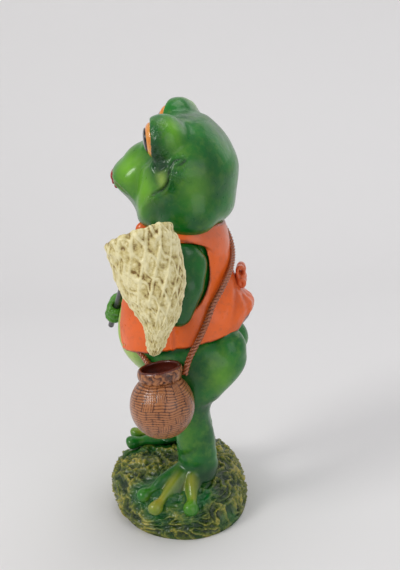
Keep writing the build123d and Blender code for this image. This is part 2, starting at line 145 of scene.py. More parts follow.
def finish_piece(made, replaces, material):
    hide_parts(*replaces)
    made.data.materials.clear()
    made.data.materials.append(material)
    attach(made, "root")


def smoothstep(low, high, values):
    part = np.clip((values - low) / (high - low), 0, 1)
    return part * part * (3 - 2 * part)


def bell(distance, width):
    return np.exp(-((distance / width) ** 2))


def unit(ways):
    return ways / np.linalg.norm(ways, axis=-1, keepdims=True)


def noise_at(points, scale, seed=0, octaves=1):
    result = np.zeros(len(points))
    for octave in range(octaves):
        size = scale / 2 ** octave
        shift = Vector((seed * 13.7 + octave * 5.1, seed * 7.3, seed * 3.9))
        values = [noise.noise(Vector(q) / size + shift) for q in points]
        result += np.array(values) / 2 ** octave
    return result


def line_distance(points, line):
    # Distance to a run of points, and how far along the run the nearest place is, from 0 to 1
    line = np.asarray(line, float)
    best = np.full(len(points), 1e9)
    place = np.zeros(len(points))
    lengths = np.linalg.norm(np.diff(line, axis=0), axis=1)
    travelled = np.concatenate([[0], np.cumsum(lengths)])
    for index, (a, b) in enumerate(zip(line, line[1:])):
        along = np.clip(((points - a) @ (b - a)) / max((b - a) @ (b - a), 1e-9), 0, 1)
        away = np.linalg.norm(points - a - along[:, None] * (b - a), axis=1)
        nearer = away < best
        best[nearer] = away[nearer]
        place[nearer] = ((travelled[index] + along * lengths[index]) / travelled[-1])[nearer]
    return best, place


def curve_through(line, per_span):
    # Smooth points through a run of points
    line = [np.asarray(q, float) for q in line]
    padded = [line[0]] + line + [line[-1]]
    result = []
    for a, b, c, d in zip(padded, padded[1:], padded[2:], padded[3:]):
        for step in range(per_span):
            t = step / per_span
            result.append(
                0.5 * (2 * b + (c - a) * t + (2 * a - 5 * b + 4 * c - d) * t ** 2 + (3 * b - a - 3 * c + d) * t ** 3)
            )
    return np.array(result + [line[-1]])


def grid_faces(rows, columns, wrap=True, closed=False):
    faces = []
    for row in range(rows if closed else rows - 1):
        here, below = row * columns, (row + 1) % rows * columns
        for column in range(columns if wrap else columns - 1):
            after = (column + 1) % columns
            faces.append((here + column, here + after, below + after, below + column))
    return faces


def closed_sheet(top, under, rows, columns):
    # Two open grids of the same size, joined round their edges
    faces = grid_faces(rows, columns, wrap=False)
    total = rows * columns
    faces += [tuple(i + total for i in f[::-1]) for f in faces]
    edge = list(range(columns)) + [r * columns + columns - 1 for r in range(1, rows)]
    edge += [(rows - 1) * columns + i for i in range(columns - 2, -1, -1)]
    edge += [r * columns for r in range(rows - 2, 0, -1)]
    for a, b in zip(edge, edge[1:] + edge[:1]):
        faces.append((b, a, a + total, b + total))
    return np.array(top + under), faces


def capped_grid(walls, columns):
    # Skin of rings laid one after the other, closed at both ends
    points = np.concatenate(walls)
    faces = grid_faces(len(points) // columns, columns)
    faces.append(tuple(range(columns))[::-1])
    faces.append(tuple(range(len(points) - columns, len(points))))
    return Skin(points, faces)


def over_rim(outer, inner, up, count):
    # Rings in a half round from the outer wall's last ring to the inner wall's first
    middle, half = (outer + inner) / 2, (outer - inner) / 2
    turns = [math.pi * step / count for step in range(1, count)]
    return [middle + half * math.cos(t) + up * math.sin(t) for t in turns]


def circle(count):
    # Even places round a unit circle
    turns = [2 * math.pi * step / count for step in range(count)]
    return [(math.cos(turn), math.sin(turn)) for turn in turns]


def ball(centre, size, turns=32):
    # Closed egg form, used as a mass to blend into a skin
    points = []
    rings = turns // 2
    for ring in range(1, rings):
        tilt = math.pi * ring / rings
        points += [(math.sin(tilt) * c, math.sin(tilt) * s, -math.cos(tilt)) for c, s in circle(turns)]
    faces = grid_faces(rings - 1, turns)
    top, bottom = len(points), len(points) + 1
    points += [(0, 0, 1), (0, 0, -1)]
    last = (rings - 2) * turns
    for step in range(turns):
        after = (step + 1) % turns
        faces.append((last + step, last + after, top))
        faces.append((after, step, bottom))
    return np.array(points) * (np.array(size) / 2) + np.array(centre), faces


def tube(line, radii, sides):
    # Closed tube with round ends along a run of points
    line = np.asarray(line, float)
    radii = np.broadcast_to(np.asarray(radii, float), (len(line),))
    ahead, back = unit(line[-1] - line[-2]), unit(line[0] - line[1])
    stations = [(line[0] + back * radii[0] * k, radii[0] * r) for k, r in reversed(ROUND_END)]
    stations += zip(line, radii)
    stations += [(line[-1] + ahead * radii[-1] * k, radii[-1] * r) for k, r in ROUND_END]
    centres = np.array([s[0] for s in stations])
    points = []
    side = None
    for index, (centre, width) in enumerate(stations):
        way = unit(centres[min(index + 1, len(centres) - 1)] - centres[max(index - 1, 0)])
        if side is None:
            side = np.cross(way, (0.31, 0.77, 0.55))
        side = unit(side - way * (side @ way))
        other = np.cross(way, side)
        points += [centre + width * (side * c + other * s) for c, s in circle(sides)]
    faces = grid_faces(len(centres), sides)
    faces.append(tuple(range(sides))[::-1])
    faces.append(tuple((len(centres) - 1) * sides + i for i in range(sides)))
    return np.array(points), faces


def closed_tube(line, radius, sides=12):
    # Tube round a closed ring of points
    line = np.asarray(line, float)
    middle = line.mean(axis=0)
    points = []
    for index, centre in enumerate(line):
        way = unit(line[(index + 1) % len(line)] - line[index - 1])
        out = centre - middle
        out = unit(out - way * (out @ way))
        other = np.cross(way, out)
        points += [centre + radius * (out * c + other * s) for c, s in circle(sides)]
    return np.array(points), grid_faces(len(line), sides, closed=True)


# Rays cast on the solids

def solid_tree(name):
    points, faces = arrays(name)
    return BVHTree.FromPolygons(points.tolist(), faces)


def cast(tree, start, way, reach=90.0):
    place = tree.ray_cast(Vector(start), Vector(way).normalized(), reach)[0]
    return None if place is None else np.array(place)


# Materials

SPECULAR = 0.3


def srgb(red, green, blue):
    # Paint colours are written as seen, from 0 to 255
    return tuple(((c / 255 + 0.055) / 1.055) ** 2.4 if c > 10 else c / 255 / 12.92 for c in (red, green, blue))


class Paint:
    # A painted resin material: a small builder of shader nodes
    def __init__(self, name, roughness=0.3, coat=0.6, coat_roughness=0.08):
        self.material = bpy.data.materials.new(name)
        self.material.use_nodes = True
        self.tree = self.material.node_tree
        self.shader = self.tree.nodes["Principled BSDF"]
        gloss = {"Roughness": roughness, "Specular IOR Level": SPECULAR, "Coat Weight": coat}
        gloss["Coat Roughness"] = coat_roughness
        for socket, value in gloss.items():
            self.shader.inputs[socket].default_value = value
        self.where = self.tree.nodes.new("ShaderNodeTexCoord").outputs["Object"]

    def link(self, source, target):
        # The source is a number, a vector or colour, or another node's output
        if isinstance(source, (int, float)):
            target.default_value = source
        elif isinstance(source, tuple):
            target.default_value = source + (1.0,) * (len(target.default_value) - len(source))
        else:
            self.tree.links.new(source, target)

    def node(self, kind, inputs, output=0, **values):
        made = self.tree.nodes.new(kind)
        for key, value in values.items():
            setattr(made, key, value)
        for socket, source in inputs.items():
            self.link(source, made.inputs[socket])
        return made.outputs[output]

    def mark(self, name):
        return self.node("ShaderNodeAttribute", {}, "Fac", attribute_name=name)

    def math(self, operation, first, second, clamp=False):
        return self.node("ShaderNodeMath", {0: first, 1: second}, operation=operation, use_clamp=clamp)

    def noise(self, size, detail=3.0, roughness=0.5, distortion=0.0, stretch=(1, 1, 1)):
        # size is in millimetres
        scale = tuple(1 / (size * MM) / s for s in stretch)
        where = self.node("ShaderNodeMapping", {"Vector": self.where, "Scale": scale})
        shape = {"Scale": 1.0, "Detail": detail, "Roughness": roughness, "Distortion": distortion}
        return self.node("ShaderNodeTexNoise", {"Vector": where, **shape}, "Fac")

    def ramp(self, factor, *stops):
        made = self.tree.nodes.new("ShaderNodeValToRGB")
        while len(made.color_ramp.elements) < len(stops):
            made.color_ramp.elements.new(0.5)
        for element, (place, colour) in zip(made.color_ramp.elements, stops):
            element.position = place
            element.color = (*srgb(*colour), 1.0)
        self.link(factor, made.inputs["Fac"])
        return made.outputs["Color"]

    def range(self, factor, low, high, to_low=0.0, to_high=1.0):
        ends = {"From Min": low, "From Max": high, "To Min": to_low, "To Max": to_high}
        return self.node("ShaderNodeMapRange", {"Value": factor, **ends}, "Result", clamp=True)

    def mix(self, factor, first, second):
        first, second = [srgb(*c) if isinstance(c, tuple) else c for c in (first, second)]
        return self.node("ShaderNodeMix", {0: factor, 6: first, 7: second}, 2, data_type="RGBA")

    def mottled(self, grain, first, second, low=0.35, high=0.65):
        return self.mix(self.range(grain, low, high), first, second)

    def uneven(self, mark, grain, spread):
        # A mark whose edge is broken up by a noise
        return self.math("ADD", self.mark(mark), self.range(grain, 0.3, 0.7, -spread, spread), clamp=True)

    def colour(self, value):
        self.link(value, self.shader.inputs["Base Color"])

    def rough(self, grain, low, high):
        self.link(self.range(grain, 0.3, 0.7, low, high), self.shader.inputs["Roughness"])

    def bump(self, height, depth, after=None):
        # depth is in millimetres; after is the normal of a bump below this one
        below = {} if after is None else {"Normal": after}
        return self.node("ShaderNodeBump", {"Height": height, "Strength": 1.0, "Distance": depth * MM, **below})

    def surface(self, normal):
        self.link(normal, self.shader.inputs["Normal"])
        self.link(normal, self.shader.inputs["Coat Normal"])
        return self.material


def skin_paint(name, dark, mid, light, pale, shaded):
    # Green airbrushed skin: marks on the mesh say where the paler sprays lie
    paint = Paint(name, roughness=0.38, coat=0.35, coat_roughness=0.1)
    broad = paint.noise(22, detail=2)
    fine = paint.noise(5, detail=4, roughness=0.6)
    speck = paint.noise(1.1, detail=3, roughness=0.7)
    green = paint.mottled(broad, dark, mid)
    for mark, spread, colour in (("spray", 0.12, light), ("belly", 0.08, pale), ("shade", 0.1, shaded)):
        green = paint.mix(paint.uneven(mark, fine, spread), green, colour)
    green = paint.mix(paint.mark("ochre"), green, (158, 150, 48))
    green = paint.mix(paint.mark("rust"), green, (120, 58, 34))
    paint.colour(paint.mix(paint.range(speck, 0.62, 0.8, 0, 0.25), green, light))
    paint.rough(fine, 0.26, 0.42)
    soft = paint.bump(paint.noise(3.2, detail=3), 0.16)
    crinkle = paint.math("MULTIPLY", paint.noise(2.4, detail=2, distortion=1.0), paint.mark("crinkle"))
    return paint.surface(paint.bump(crinkle, 1.3, after=soft))


def plain_paint(name, colours, roughness, coat, grain=1.2, depth=0.1):
    paint = Paint(name, roughness=roughness, coat=coat)
    broad = paint.noise(14, detail=3)
    fine = paint.noise(grain, detail=3, roughness=0.6)
    base = paint.mottled(broad, *colours[:2])
    paint.colour(paint.mix(paint.range(fine, 0.55, 0.8, 0, 0.5), base, colours[2]))
    paint.rough(fine, roughness * 0.8, roughness * 1.25)
    return paint.surface(paint.bump(fine, depth))


def wash_paint(name, colours, roughness, coat, grain, depth, tint=None):
    # Relief paint: dark wash in the hollows, dry brush on the ridges. The mesh carries its height from 0 to 1.
    paint = Paint(name, roughness=roughness, coat=coat, coat_roughness=0.15)
    fine = paint.noise(grain, detail=4, roughness=0.65)
    broad = paint.noise(11, detail=3)
    height = paint.math("ADD", paint.mark("height"), paint.range(fine, 0.25, 0.75, -0.22, 0.22))
    height = paint.math("ADD", height, paint.range(broad, 0.3, 0.7, -0.12, 0.12), clamp=True)
    colour = paint.ramp(height, *zip((0.12, 0.45, 0.85), colours))
    if tint:
        colour = paint.mix(paint.mark("tint"), colour, tint)
    paint.colour(colour)
    paint.rough(fine, roughness * 0.75, roughness * 1.2)
    return paint.surface(paint.bump(fine, depth))


def eye_paint():
    # Orange with brushed streaks
    paint = Paint("eye_orange", roughness=0.18, coat=0.9)
    streaks = paint.noise(2.4, detail=3, stretch=(1, 1, 2.5))
    paint.colour(paint.mottled(streaks, (222, 134, 44), (236, 162, 74), high=0.7))
    return paint.surface(paint.bump(streaks, 0.05))


def vest_paint():
    # Orange cloth as cast: painted shade along its edges (under the hem, round the armholes, at the collar) and in its
    # folds, tan at the shoulders and round the bow
    paint = Paint("vest_orange", roughness=0.38, coat=0.35, coat_roughness=0.12)
    broad = paint.noise(20, detail=3)
    fine = paint.noise(3.5, detail=4, roughness=0.6)
    speck = paint.noise(0.9, detail=2)
    orange = paint.mottled(broad, (214, 90, 12), (236, 104, 32))
    orange = paint.mix(paint.uneven("tan", fine, 0.15), orange, (208, 108, 74))
    # Painted shade in the folds and along the pleat
    orange = paint.mix(paint.mark("fold_shade"), orange, (168, 64, 22))
    # Painted shade along the hem's lowest edge and underside, round the armholes and at the collar's edge
    edge = paint.math("ADD", paint.mark("edge"), paint.range(fine, 0.35, 0.65, -0.25, 0.1), clamp=True)
    orange = paint.mix(edge, orange, (92, 40, 22))
    paint.colour(paint.mix(paint.range(speck, 0.68, 0.8, 0, 0.3), orange, (150, 62, 30)))
    paint.rough(fine, 0.26, 0.42)
    soft = paint.bump(fine, 0.18)
    return paint.surface(paint.bump(speck, 0.05, after=soft))


# Frog skin

SKIN_MARKS = ("belly", "spray", "shade", "crinkle", "rust", "ochre")
CLOTH_MARKS = ("edge", "fold_shade", "tan")

SKIN = skin_paint("frog_green", (2, 84, 26), (14, 116, 26), (112, 176, 30), (156, 188, 80), (0, 56, 20))


def blank_marks(skin, names):
    skin.marks = {mark: np.zeros(len(skin.p)) for mark in names}


def add_mark(skin, mark, values):
    skin.marks[mark] = np.clip(skin.marks[mark] + values, 0, 1)


def spot(points, centre, radius, stretch=(1, 1, 1)):
    away = np.linalg.norm((points - np.array(centre)) / np.array(stretch), axis=1)
    return bell(away, radius)


def flipped(line, sign):
    return np.asarray(line, float) * (sign, 1, 1)


def spots(points, rows, place, sign):
    # Rows of centre, radius, stretch and strength, given for the left side and placed on either
    return sum(amount * spot(points, place(centre, sign), radius, stretch) for centre, radius, stretch, amount in rows)


def carve(skin, line, depth, width, lip=0.0, soft_ends=5.0):
    # Groove along a line, with a raised lip on both sides
    away, place = line_distance(skin.p, curve_through(line, 5))
    ends = np.clip(soft_ends * np.minimum(place, 1 - place) + 0.2, 0, 1)
    amount = lip * bell(away - 2.4 * width, width) - depth * bell(away, width)
    skin.push(amount * ends)
    return bell(away, width) * ends


def crumple(skin, where, size, depth, seed):
    # Small sharp lumps and wrinkles inside a region
    near = where > 0.02
    lumps = np.zeros(len(skin.p))
    rough = noise_at(skin.p[near], size, seed, 2)
    lumps[near] = (1 - 2.4 * np.abs(rough)) * depth
    skin.push(lumps * where)


# Eye places: a point on the axis of each eye and the way it faces

LENS_RADIUS, PUPIL_RADIUS = 9.4, 6.9
LID_RADIUS, LID_THICKNESS = 10.4, 1.5
EYE_DEPTH = 2.3  # from the point seen on the lens's rim back to the lens's flat
EYE_LIFT = np.array((0, 0, 0.9))
EYE_RIMS = {"left": (23.6, -1.6, 221.5), "right": (-18.3, 2.8, 229.7)}
LID_BACK = {"left": 1.0, "right": 3.6}
LID_REACH = {"left": -0.2, "right": -2.4}  # how far forward of the lens's flat the bump may come


def facing(name):
    # The way in which a disc faces: across its flat, towards the front
    points, _ = arrays(name)
    way = np.linalg.svd(points - points.mean(axis=0), full_matrices=False)[2][2]
    return way if way[1] < 0 else -way


def across(way):
    first = unit(np.cross(way, (0, 0, 1)))
    return first, np.cross(first, way)


def ring_line(centre, way, radius, count=40):
    first, second = across(way)
    return np.array([centre + radius * (first * c + second * s) for c, s in circle(count)])


def axis_place(points, centre, way):
    # How far points lie along an axis, and how far off it
    along = (points - centre) @ way
    return along, np.linalg.norm(points - centre - along[:, None] * way, axis=1)


EYES = {}
for name, rim in EYE_RIMS.items():
    way = facing(name + "_eye")
    EYES[name] = (np.array(rim) - way * EYE_DEPTH + EYE_LIFT, way)


# Head

HEAD_MIDDLE = np.array((0, 17.5, 203.0))
HEAD_WAYS = np.array(((0.97625, -0.10261, -0.19081), (0.10453, 0.99452, 0.0), (0.18976, -0.01994, 0.98163)))
HEAD_ACROSS = HEAD_WAYS[0]


def tilted_ball(centre, size):
    # Mass whose place and axes follow the turn and tilt of the head
    points, faces = ball(centre, size, 40)
    return (points - HEAD_MIDDLE) @ HEAD_WAYS + HEAD_MIDDLE, faces


def placed(line, sign):
    # The far side is the near side turned over in the middle plane of the tilted head
    line = np.asarray(line, float)
    if sign > 0:
        return line
    return line - 2 * ((line - HEAD_MIDDLE) @ HEAD_ACROSS)[..., None] * HEAD_ACROSS


head_parts = [
    arrays("head"),
    tilted_ball((0, 17.5, 203.0), (71, 53, 65.5)),  # skull
    tilted_ball((0, -2.3, 205.0), (36, 39.6, 33.6)),  # muzzle
    ball((-4, 15, 219.5), (46, 28, 22)),  # crown
    ball((-20, 18.5, 226), (24, 21.6, 24)),  # back of the far bump
    tilted_ball((0, -20.2, 204.6), (21, 12.6, 12)),  # tip of the muzzle
    tilted_ball((0, -17.2, 198.6), (22, 13, 12)),  # chin
    ball((-22, 12.8, 230.4), (24, 26, 26.6)),  # far bump
    ball((21, 17.5, 183.5), (34, 36, 32)),  # jowls
    ball((-21, 17.5, 183.5), (34, 36, 32)),
    ball((0, 24.0, 185.5), (62, 39, 29)),  # nape
]
for name, (centre, way) in EYES.items():
    lid = ring_line(centre - way * LID_BACK[name], way, LID_RADIUS)
    head_parts.append(closed_tube(lid, LID_THICKNESS))
head = remesh("frog_head", head_parts, pick(0.75))
for name, (centre, way) in EYES.items():
    # The bump's front edge lies behind the lens's rim
    along, out = axis_place(head.p, centre, way)
    over = np.maximum(along - LID_REACH[name], 0) * smoothstep(13.4, 11.8, out) * (along < 8)
    head.p = head.p - over[:, None] * way
head.soften(pick(12))
x, y, z = head.p.T
crown = smoothstep(218, 226, z) * smoothstep(14, 20, y - 0.3 * np.abs(x)) * smoothstep(26, 18, x)
head.soften(pick(70), crown)
jowls = smoothstep(205, 196, z) * smoothstep(2, 9, y)
head.soften(pick(110), jowls)
blank_marks(head, SKIN_MARKS)
x, y, z = head.p.T
head.push(-1.5 * spot(head.p, (31, 16, 233), 8.0))
head.push(-1.6 * smoothstep(12, 28, y) * smoothstep(204, 222, z) - 0.6 * smoothstep(4, -8, y) * smoothstep(196, 186, z))

VALLEY = ((30, -5.4, 218.5), (24, -7.4, 212.5), (20, -9.4, 206.0), (19.3, -10.6, 199.5), (17.5, -12.0, 190.5))
POUCH = (
    (36.2, -1.2, 216.5), (33.4, 1.0, 212.4), (31.6, 2.4, 208.8), (32.6, 4.4, 206.7), (34.5, 8.0, 208.6),
    (35.4, 11.2, 210.0),
)
CRACK = ((35.4, 10.8, 208.7), (36.1, 9.9, 202.2), (34.8, 6.9, 197.5), (31.3, 2.3, 195.1), (28.8, -1.7, 192.8))
CRACK_TOP = ((36.1, 9.9, 204), (35.5, 12.9, 210.8), (35.6, 15.6, 212.2), (35.0, 18.7, 213.0))
CRACK_TWIG = ((35.6, 14.5, 209.0), (35.8, 17.4, 210.1), (35.0, 20.2, 212.5))
# Each groove behind the mouth with its depth, width and lip
CRACKS = ((CRACK, 1.35, 0.75, 0.45), (CRACK_TOP, 0.6, 0.7, 0.3), (CRACK_TWIG, 0.45, 0.7, 0.3))
JOWL_EDGE = ((29.5, -0.6, 191.5), (26.5, -4.5, 188.0), (23.5, -7.5, 184.0))
MOUTH = ((3, -27.0, 200.8), (9, -24.0, 199.2), (13, -19.5, 195.4), (15.4, -15.5, 191.0), (16.8, -12.4, 187.0))
PALE_PATCH = (34.4, 6.4, 203.2)
WRINKLED = (
    ((36.7, 13.8, 203.5), 4.2, (1, 1.3, 0.8), 1.0),
    ((29.6, -0.4, 191.8), 3.6, (1.2, 1.3, 0.7), 0.9),
    ((35.7, 5.8, 228.6), 5.2, (1, 0.9, 1.3), 0.8),
    ((36.5, 7.0, 216.0), 5.0, (1, 1.2, 1.1), 0.7),
    ((35.3, 17.5, 211.5), 3.6, (1, 1, 1), 0.7),
)
HEAD_SPRAY = (
    ((13, -14.5, 206.5), 11.0, (1.3, 1, 1.1), 0.85),
    ((27.5, -4.0, 197.0), 8.0, (1, 1, 1.3), 0.75),
    ((23.0, -9.0, 187.0), 6.0, (1, 1, 1.2), 0.5),
    ((33.0, 13.2, 230.0), 6.5, (1, 0.8, 1.3), 0.75),
    ((34.6, 24.5, 197.0), 10.0, (1, 0.9, 1.2), 0.5),
    ((36.0, 16.0, 219.0), 7.0, (1, 1.2, 1), 0.3),
)
HEAD_SHADE = (
    ((36.5, 3.0, 216.5), 7.0, (1, 1, 1.6), 0.95),
    ((33.5, 7.0, 210.5), 4.0, (1, 1, 1), 0.7),
    ((31.5, 8.0, 186.0), 9.0, (1, 1.8, 0.8), 0.75),
    ((30.0, 33.0, 205.0), 12.0, (1, 1, 1.9), 0.45),
)
for sign in BOTH:
    add_mark(head, "shade", 0.22 * carve(head, placed(VALLEY, sign), 1.5, 3.2, 0.4))
    add_mark(head, "shade", 0.55 * carve(head, placed(POUCH, sign), 1.0, 0.95, 0.3))
    cracks = [carve(head, placed(line, sign), *sizes) for line, *sizes in CRACKS]
    carve(head, placed(JOWL_EDGE, sign), -0.7, 1.5, -0.2, 3.0)
    add_mark(head, "shade", 0.95 * np.max(cracks, axis=0))
    add_mark(head, "rust", 0.75 * carve(head, placed(MOUTH, sign), 1.0, 0.9, 0.45, 3.0))
    patch = spot(head.p, placed(PALE_PATCH, sign), 4.0, (1, 0.75, 1.3))
    crumple(head, patch, 2.6, 0.3, 3)
    add_mark(head, "belly", 0.85 * patch)
    wrinkled = np.clip(spots(head.p, WRINKLED, placed, sign), 0, 1)
    crumple(head, wrinkled, 3.6, 0.62, 7)
    add_mark(head, "crinkle", wrinkled)
    add_mark(head, "spray", spots(head.p, HEAD_SPRAY, placed, sign))
    add_mark(head, "shade", spots(head.p, HEAD_SHADE, placed, sign))
for centre, way in EYES.values():
    along, out = axis_place(head.p, centre, way)
    add_mark(head, "shade", 0.6 * bell(out - 9.2, 1.0) * bell(along, 2.5))
head.piece("frog_head", ("head",), "skin", SKIN)


# Eyes: an orange lens with a dark disc on its front

def lens(centre, way, radius, rise, start, power, columns, rings=14):
    rows = [(radius * 0.98, start - 3.0), (radius, start - 0.5)]
    for ring in range(rings):
        out = math.cos(math.pi / 2 * ring / rings)
        rows.append((radius * out, start + rise * (1 - out ** power) ** (1 / power)))
    points = np.concatenate([ring_line(centre + way * along, way, out, columns) for out, along in rows])
    faces = grid_faces(len(rows), columns)
    faces.append(tuple(range(columns))[::-1])
    top, last = len(points), (len(rows) - 1) * columns
    for step in range(columns):
        faces.append((last + step, last + (step + 1) % columns, top))
    return np.concatenate([points, [centre + way * (start + rise)]]), faces


EYE = eye_paint()
DARK = plain_paint("eye_black", ((8, 8, 9), (13, 12, 12), (20, 18, 18)), roughness=0.1, coat=1.0, grain=3.0, depth=0.03)
for name, (centre, way) in EYES.items():
    columns = pick(96)
    ball_part = make(name + "_eye_lens", *lens(centre, way, LENS_RADIUS, 3.9, 0.0, 2.0, columns))
    finish_piece(ball_part, (name + "_eye",), EYE)
    pupil_part = make(name + "_pupil_cap", *lens(centre, way, PUPIL_RADIUS, 1.9, 2.7, 2.2, columns))
    finish_piece(pupil_part, (name + "_pupil",), DARK)


# Lips

RED = plain_paint("lip_red", ((132, 22, 18), (160, 34, 26), (186, 54, 38)), roughness=0.25, coat=0.8, grain=2.0)
LIPS = {
    "upper_lip": (4, [tilted_ball((0, -26.0, 203.0), (15, 4.2, 7.4)), tilted_ball((0, -25.4, 200.0), (17, 4.2, 4.4))]),
    "lower_lip": (3, [tilted_ball((0, -24.2, 197.4), (16, 5.0, 4.2))]),
}
for name, (rounds, parts) in LIPS.items():
    lip = remesh(name + "_form", parts, pick(0.5))
    lip.soften(rounds)
    lip.piece(name + "_form", (name,), "lip", RED)


# Body: torso, legs, feet and the webs between the toes, in one skin

HEEL = np.array((20.5, 14.0, 31.0))
TOES = {
    1: [(38.0, -16.5, 23.8), (46.5, -8.5, 19.0), (45.5, 10.5, 20.0)],
    -1: [(-13.0, -31.5, 31.0), (-26.5, -29.5, 31.5), (-38.0, -13.0, 28.0)],
}
TOE_SHIFTS = ((TOES[1][2], (0.4, 1.0, -2.2)), (TOES[1][0], (0, 0.4, -1.6)), (TOES[-1][0], (0, 1.5, 0.4)))
# Strength of the spray and the ochre on each toe's ridge, then of both on its ball
TOE_PAINT = ((0.2, 0.0, 0.1, 0.0), (0.75, 0.7, 0.5, 0.75), (0.5, 0.85, 0.4, 0.1))
WEB_COLUMNS = 9
WEB_THICKNESS = 5.0


def toe_line(sign, tip, start=0.0, end=1.0, count=14):
    # Toe bone from the ankle to the ball, bowed up a little
    first = flipped(HEEL, sign) + np.array((0, -1.0, 3.5))
    shares = np.linspace(start, end, count)
    line = first + (np.array(tip) - first) * shares[:, None]
    line[:, 2] += 2.2 * np.sin(np.pi * shares) * (1 - shares)
    return line


def web(sign, tips, count=16):
    # Closed sheet between two toes, hollow between them and with a curved front edge
    left, right = [toe_line(sign, tip, 0.0, 0.93, count) for tip in tips]
    top, low = [], []
    for row in range(count):
        along = row / (count - 1)
        for step in range(WEB_COLUMNS):
            part = step / (WEB_COLUMNS - 1)
            bow = 4 * part * (1 - part)
            back = 1 - 0.2 * bow * along
            near, far = [bone[0] + (bone[row] - bone[0]) * back for bone in (left, right)]
            place = near * (1 - part) + far * part + np.array((0, 0, 0.4 - 0.9 * bow * along))
            top.append(place)
            low.append(place - (0, 0, WEB_THICKNESS))
    return closed_sheet(top, low, count, WEB_COLUMNS)


body_parts = [arrays(n) for n in ("torso", "left_leg", "right_leg", "left_foot", "right_foot")]
for sign, tips in TOES.items():
    for tip in tips:
        line = toe_line(sign, tip)
        body_parts.append(tube(line, np.linspace(4.2, 2.3, len(line)), 12))
        body_parts.append(ball(tip, (9.6, 9.6, 8.6), 24))
    for pair in zip(tips, tips[1:]):
        body_parts.append(web(sign, pair))
    body_parts.append(ball(flipped(HEEL, sign) + (0, -1, 1), (19, 20, 16), 28))
body_parts.append(ball((20, 34.0, 103.5), (26, 24.6, 27)))  # rump
body = remesh("frog_body", body_parts, pick(0.8))
body.soften(pick(10))
x, y, z = body.p.T
body.soften(pick(50), bell(z - 76, 11) * smoothstep(8, 14, y))
body.p[:, 1] -= 3.2 * bell(z - 79, 12) * smoothstep(13, 24, y)
chest = smoothstep(-8, -16, y) * smoothstep(100, 110, z) * smoothstep(150, 140, z) * smoothstep(7, 12, np.abs(x))
body.push(-1.6 * chest)
for tip, shift in TOE_SHIFTS:
    body.p = body.p + np.array(shift) * smoothstep(13, 5, np.linalg.norm(body.p - tip, axis=1))[:, None]
blank_marks(body, SKIN_MARKS)
x, y, z = body.p.T
add_mark(body, "belly", smoothstep(4, -14, y + 0.35 * np.abs(x)) * smoothstep(80, 92, z))
# Line, depth, width and lip of each crease of the leg, and how dark it is: behind the knee, in front of it, at the heel
LEG_CREASES = (
    (((10, 22, 67), (20, 27.5, 69.5), (28, 25.5, 71.5), (34.2, 20, 73)), 0.7, 2.4, 0.3, 0.25),
    (((31.5, 16, 49), (32.5, 11.5, 45), (29, 4.5, 42)), 0.7, 1.6, 0.3, 0.35),
    (((14, 21.5, 38), (22, 22.5, 37), (29, 18.5, 36.5), (32, 12.5, 35)), 0.6, 1.8, 0.4, 0.45),
)
LEG_SPRAY = (((34.5, 32.5, 92), 8.0, (1, 1, 1.6), 0.5), ((31, 10, 58), 7.0, (1, 1, 1.8), 0.35))
LEG_SHADE = (((37, 16, 92), 9.0, (1, 0.8, 2.0), 0.55), ((30, 22, 72), 8.0, (1, 1, 0.8), 0.35))
for sign in BOTH:
    for line, depth, width, lip, dark in LEG_CREASES:
        add_mark(body, "shade", dark * carve(body, flipped(line, sign), depth, width, lip))
    add_mark(body, "spray", spots(body.p, LEG_SPRAY, flipped, sign))
    add_mark(body, "shade", spots(body.p, LEG_SHADE, flipped, sign))
    for tip, (ridge_spray, ridge_ochre, ball_spray, ball_ochre) in zip(TOES[sign], TOE_PAINT):
        away, place = line_distance(body.p, toe_line(sign, tip, 0.15, 1.0))
        ridge = bell(away - 2.6, 1.6) * smoothstep(0.0, 0.2, place) * smoothstep(1.0, 0.85, place)
        upward = np.clip(body.normals()[:, 2], 0, 1)
        body.push(0.45 * ridge * upward)
        add_mark(body, "spray", ridge_spray * bell(away, 3.4) * smoothstep(0.05, 0.45, place) * upward)
        fade = smoothstep(0.98, 0.8, place) if tip == TOES[sign][-1] else 1.0
        add_mark(body, "ochre", ridge_ochre * bell(away - 2.6, 1.9) * smoothstep(0.1, 0.5, place) * upward * fade)
        if sign > 0:
            add_mark(body, "ochre", ball_ochre * spot(body.p, tip, 5.6))
        add_mark(body, "spray", ball_spray * spot(body.p, tip, 5.5))
    low = smoothstep(40, 30, z) * (x * sign > 0)
    bones = np.min([line_distance(body.p, toe_line(sign, tip))[0] for tip in TOES[sign]], axis=0)
    balls = np.min([np.linalg.norm(body.p - tip, axis=1) - 4.5 for tip in TOES[sign]], axis=0)
    add_mark(body, "shade", low * (0.2 + 0.7 * smoothstep(3.2, 5.0, np.minimum(bones, balls))))
# The right leg stands a little further forward, and the left calf swells a little more
right_leg = smoothstep(0, -8, x) * smoothstep(96, 74, z) * np.maximum(smoothstep(30, 44, z), smoothstep(-12, 2, y))
body.p[:, 1] -= 5.0 * right_leg
body.p[:, 1] += 1.5 * smoothstep(6, 14, x) * smoothstep(14, 20, y) * bell(z - 54, 15)
body.push(0.25 * noise_at(body.p, 9.0, 5) * smoothstep(60, 40, z))
body.piece(
    "frog_body",
    ("torso", "left_leg", "right_leg", "left_foot", "right_foot", "neck_pin", "left_leg_rod", "right_leg_rod"),
    "skin",
    SKIN,
)


# Arms with their hands

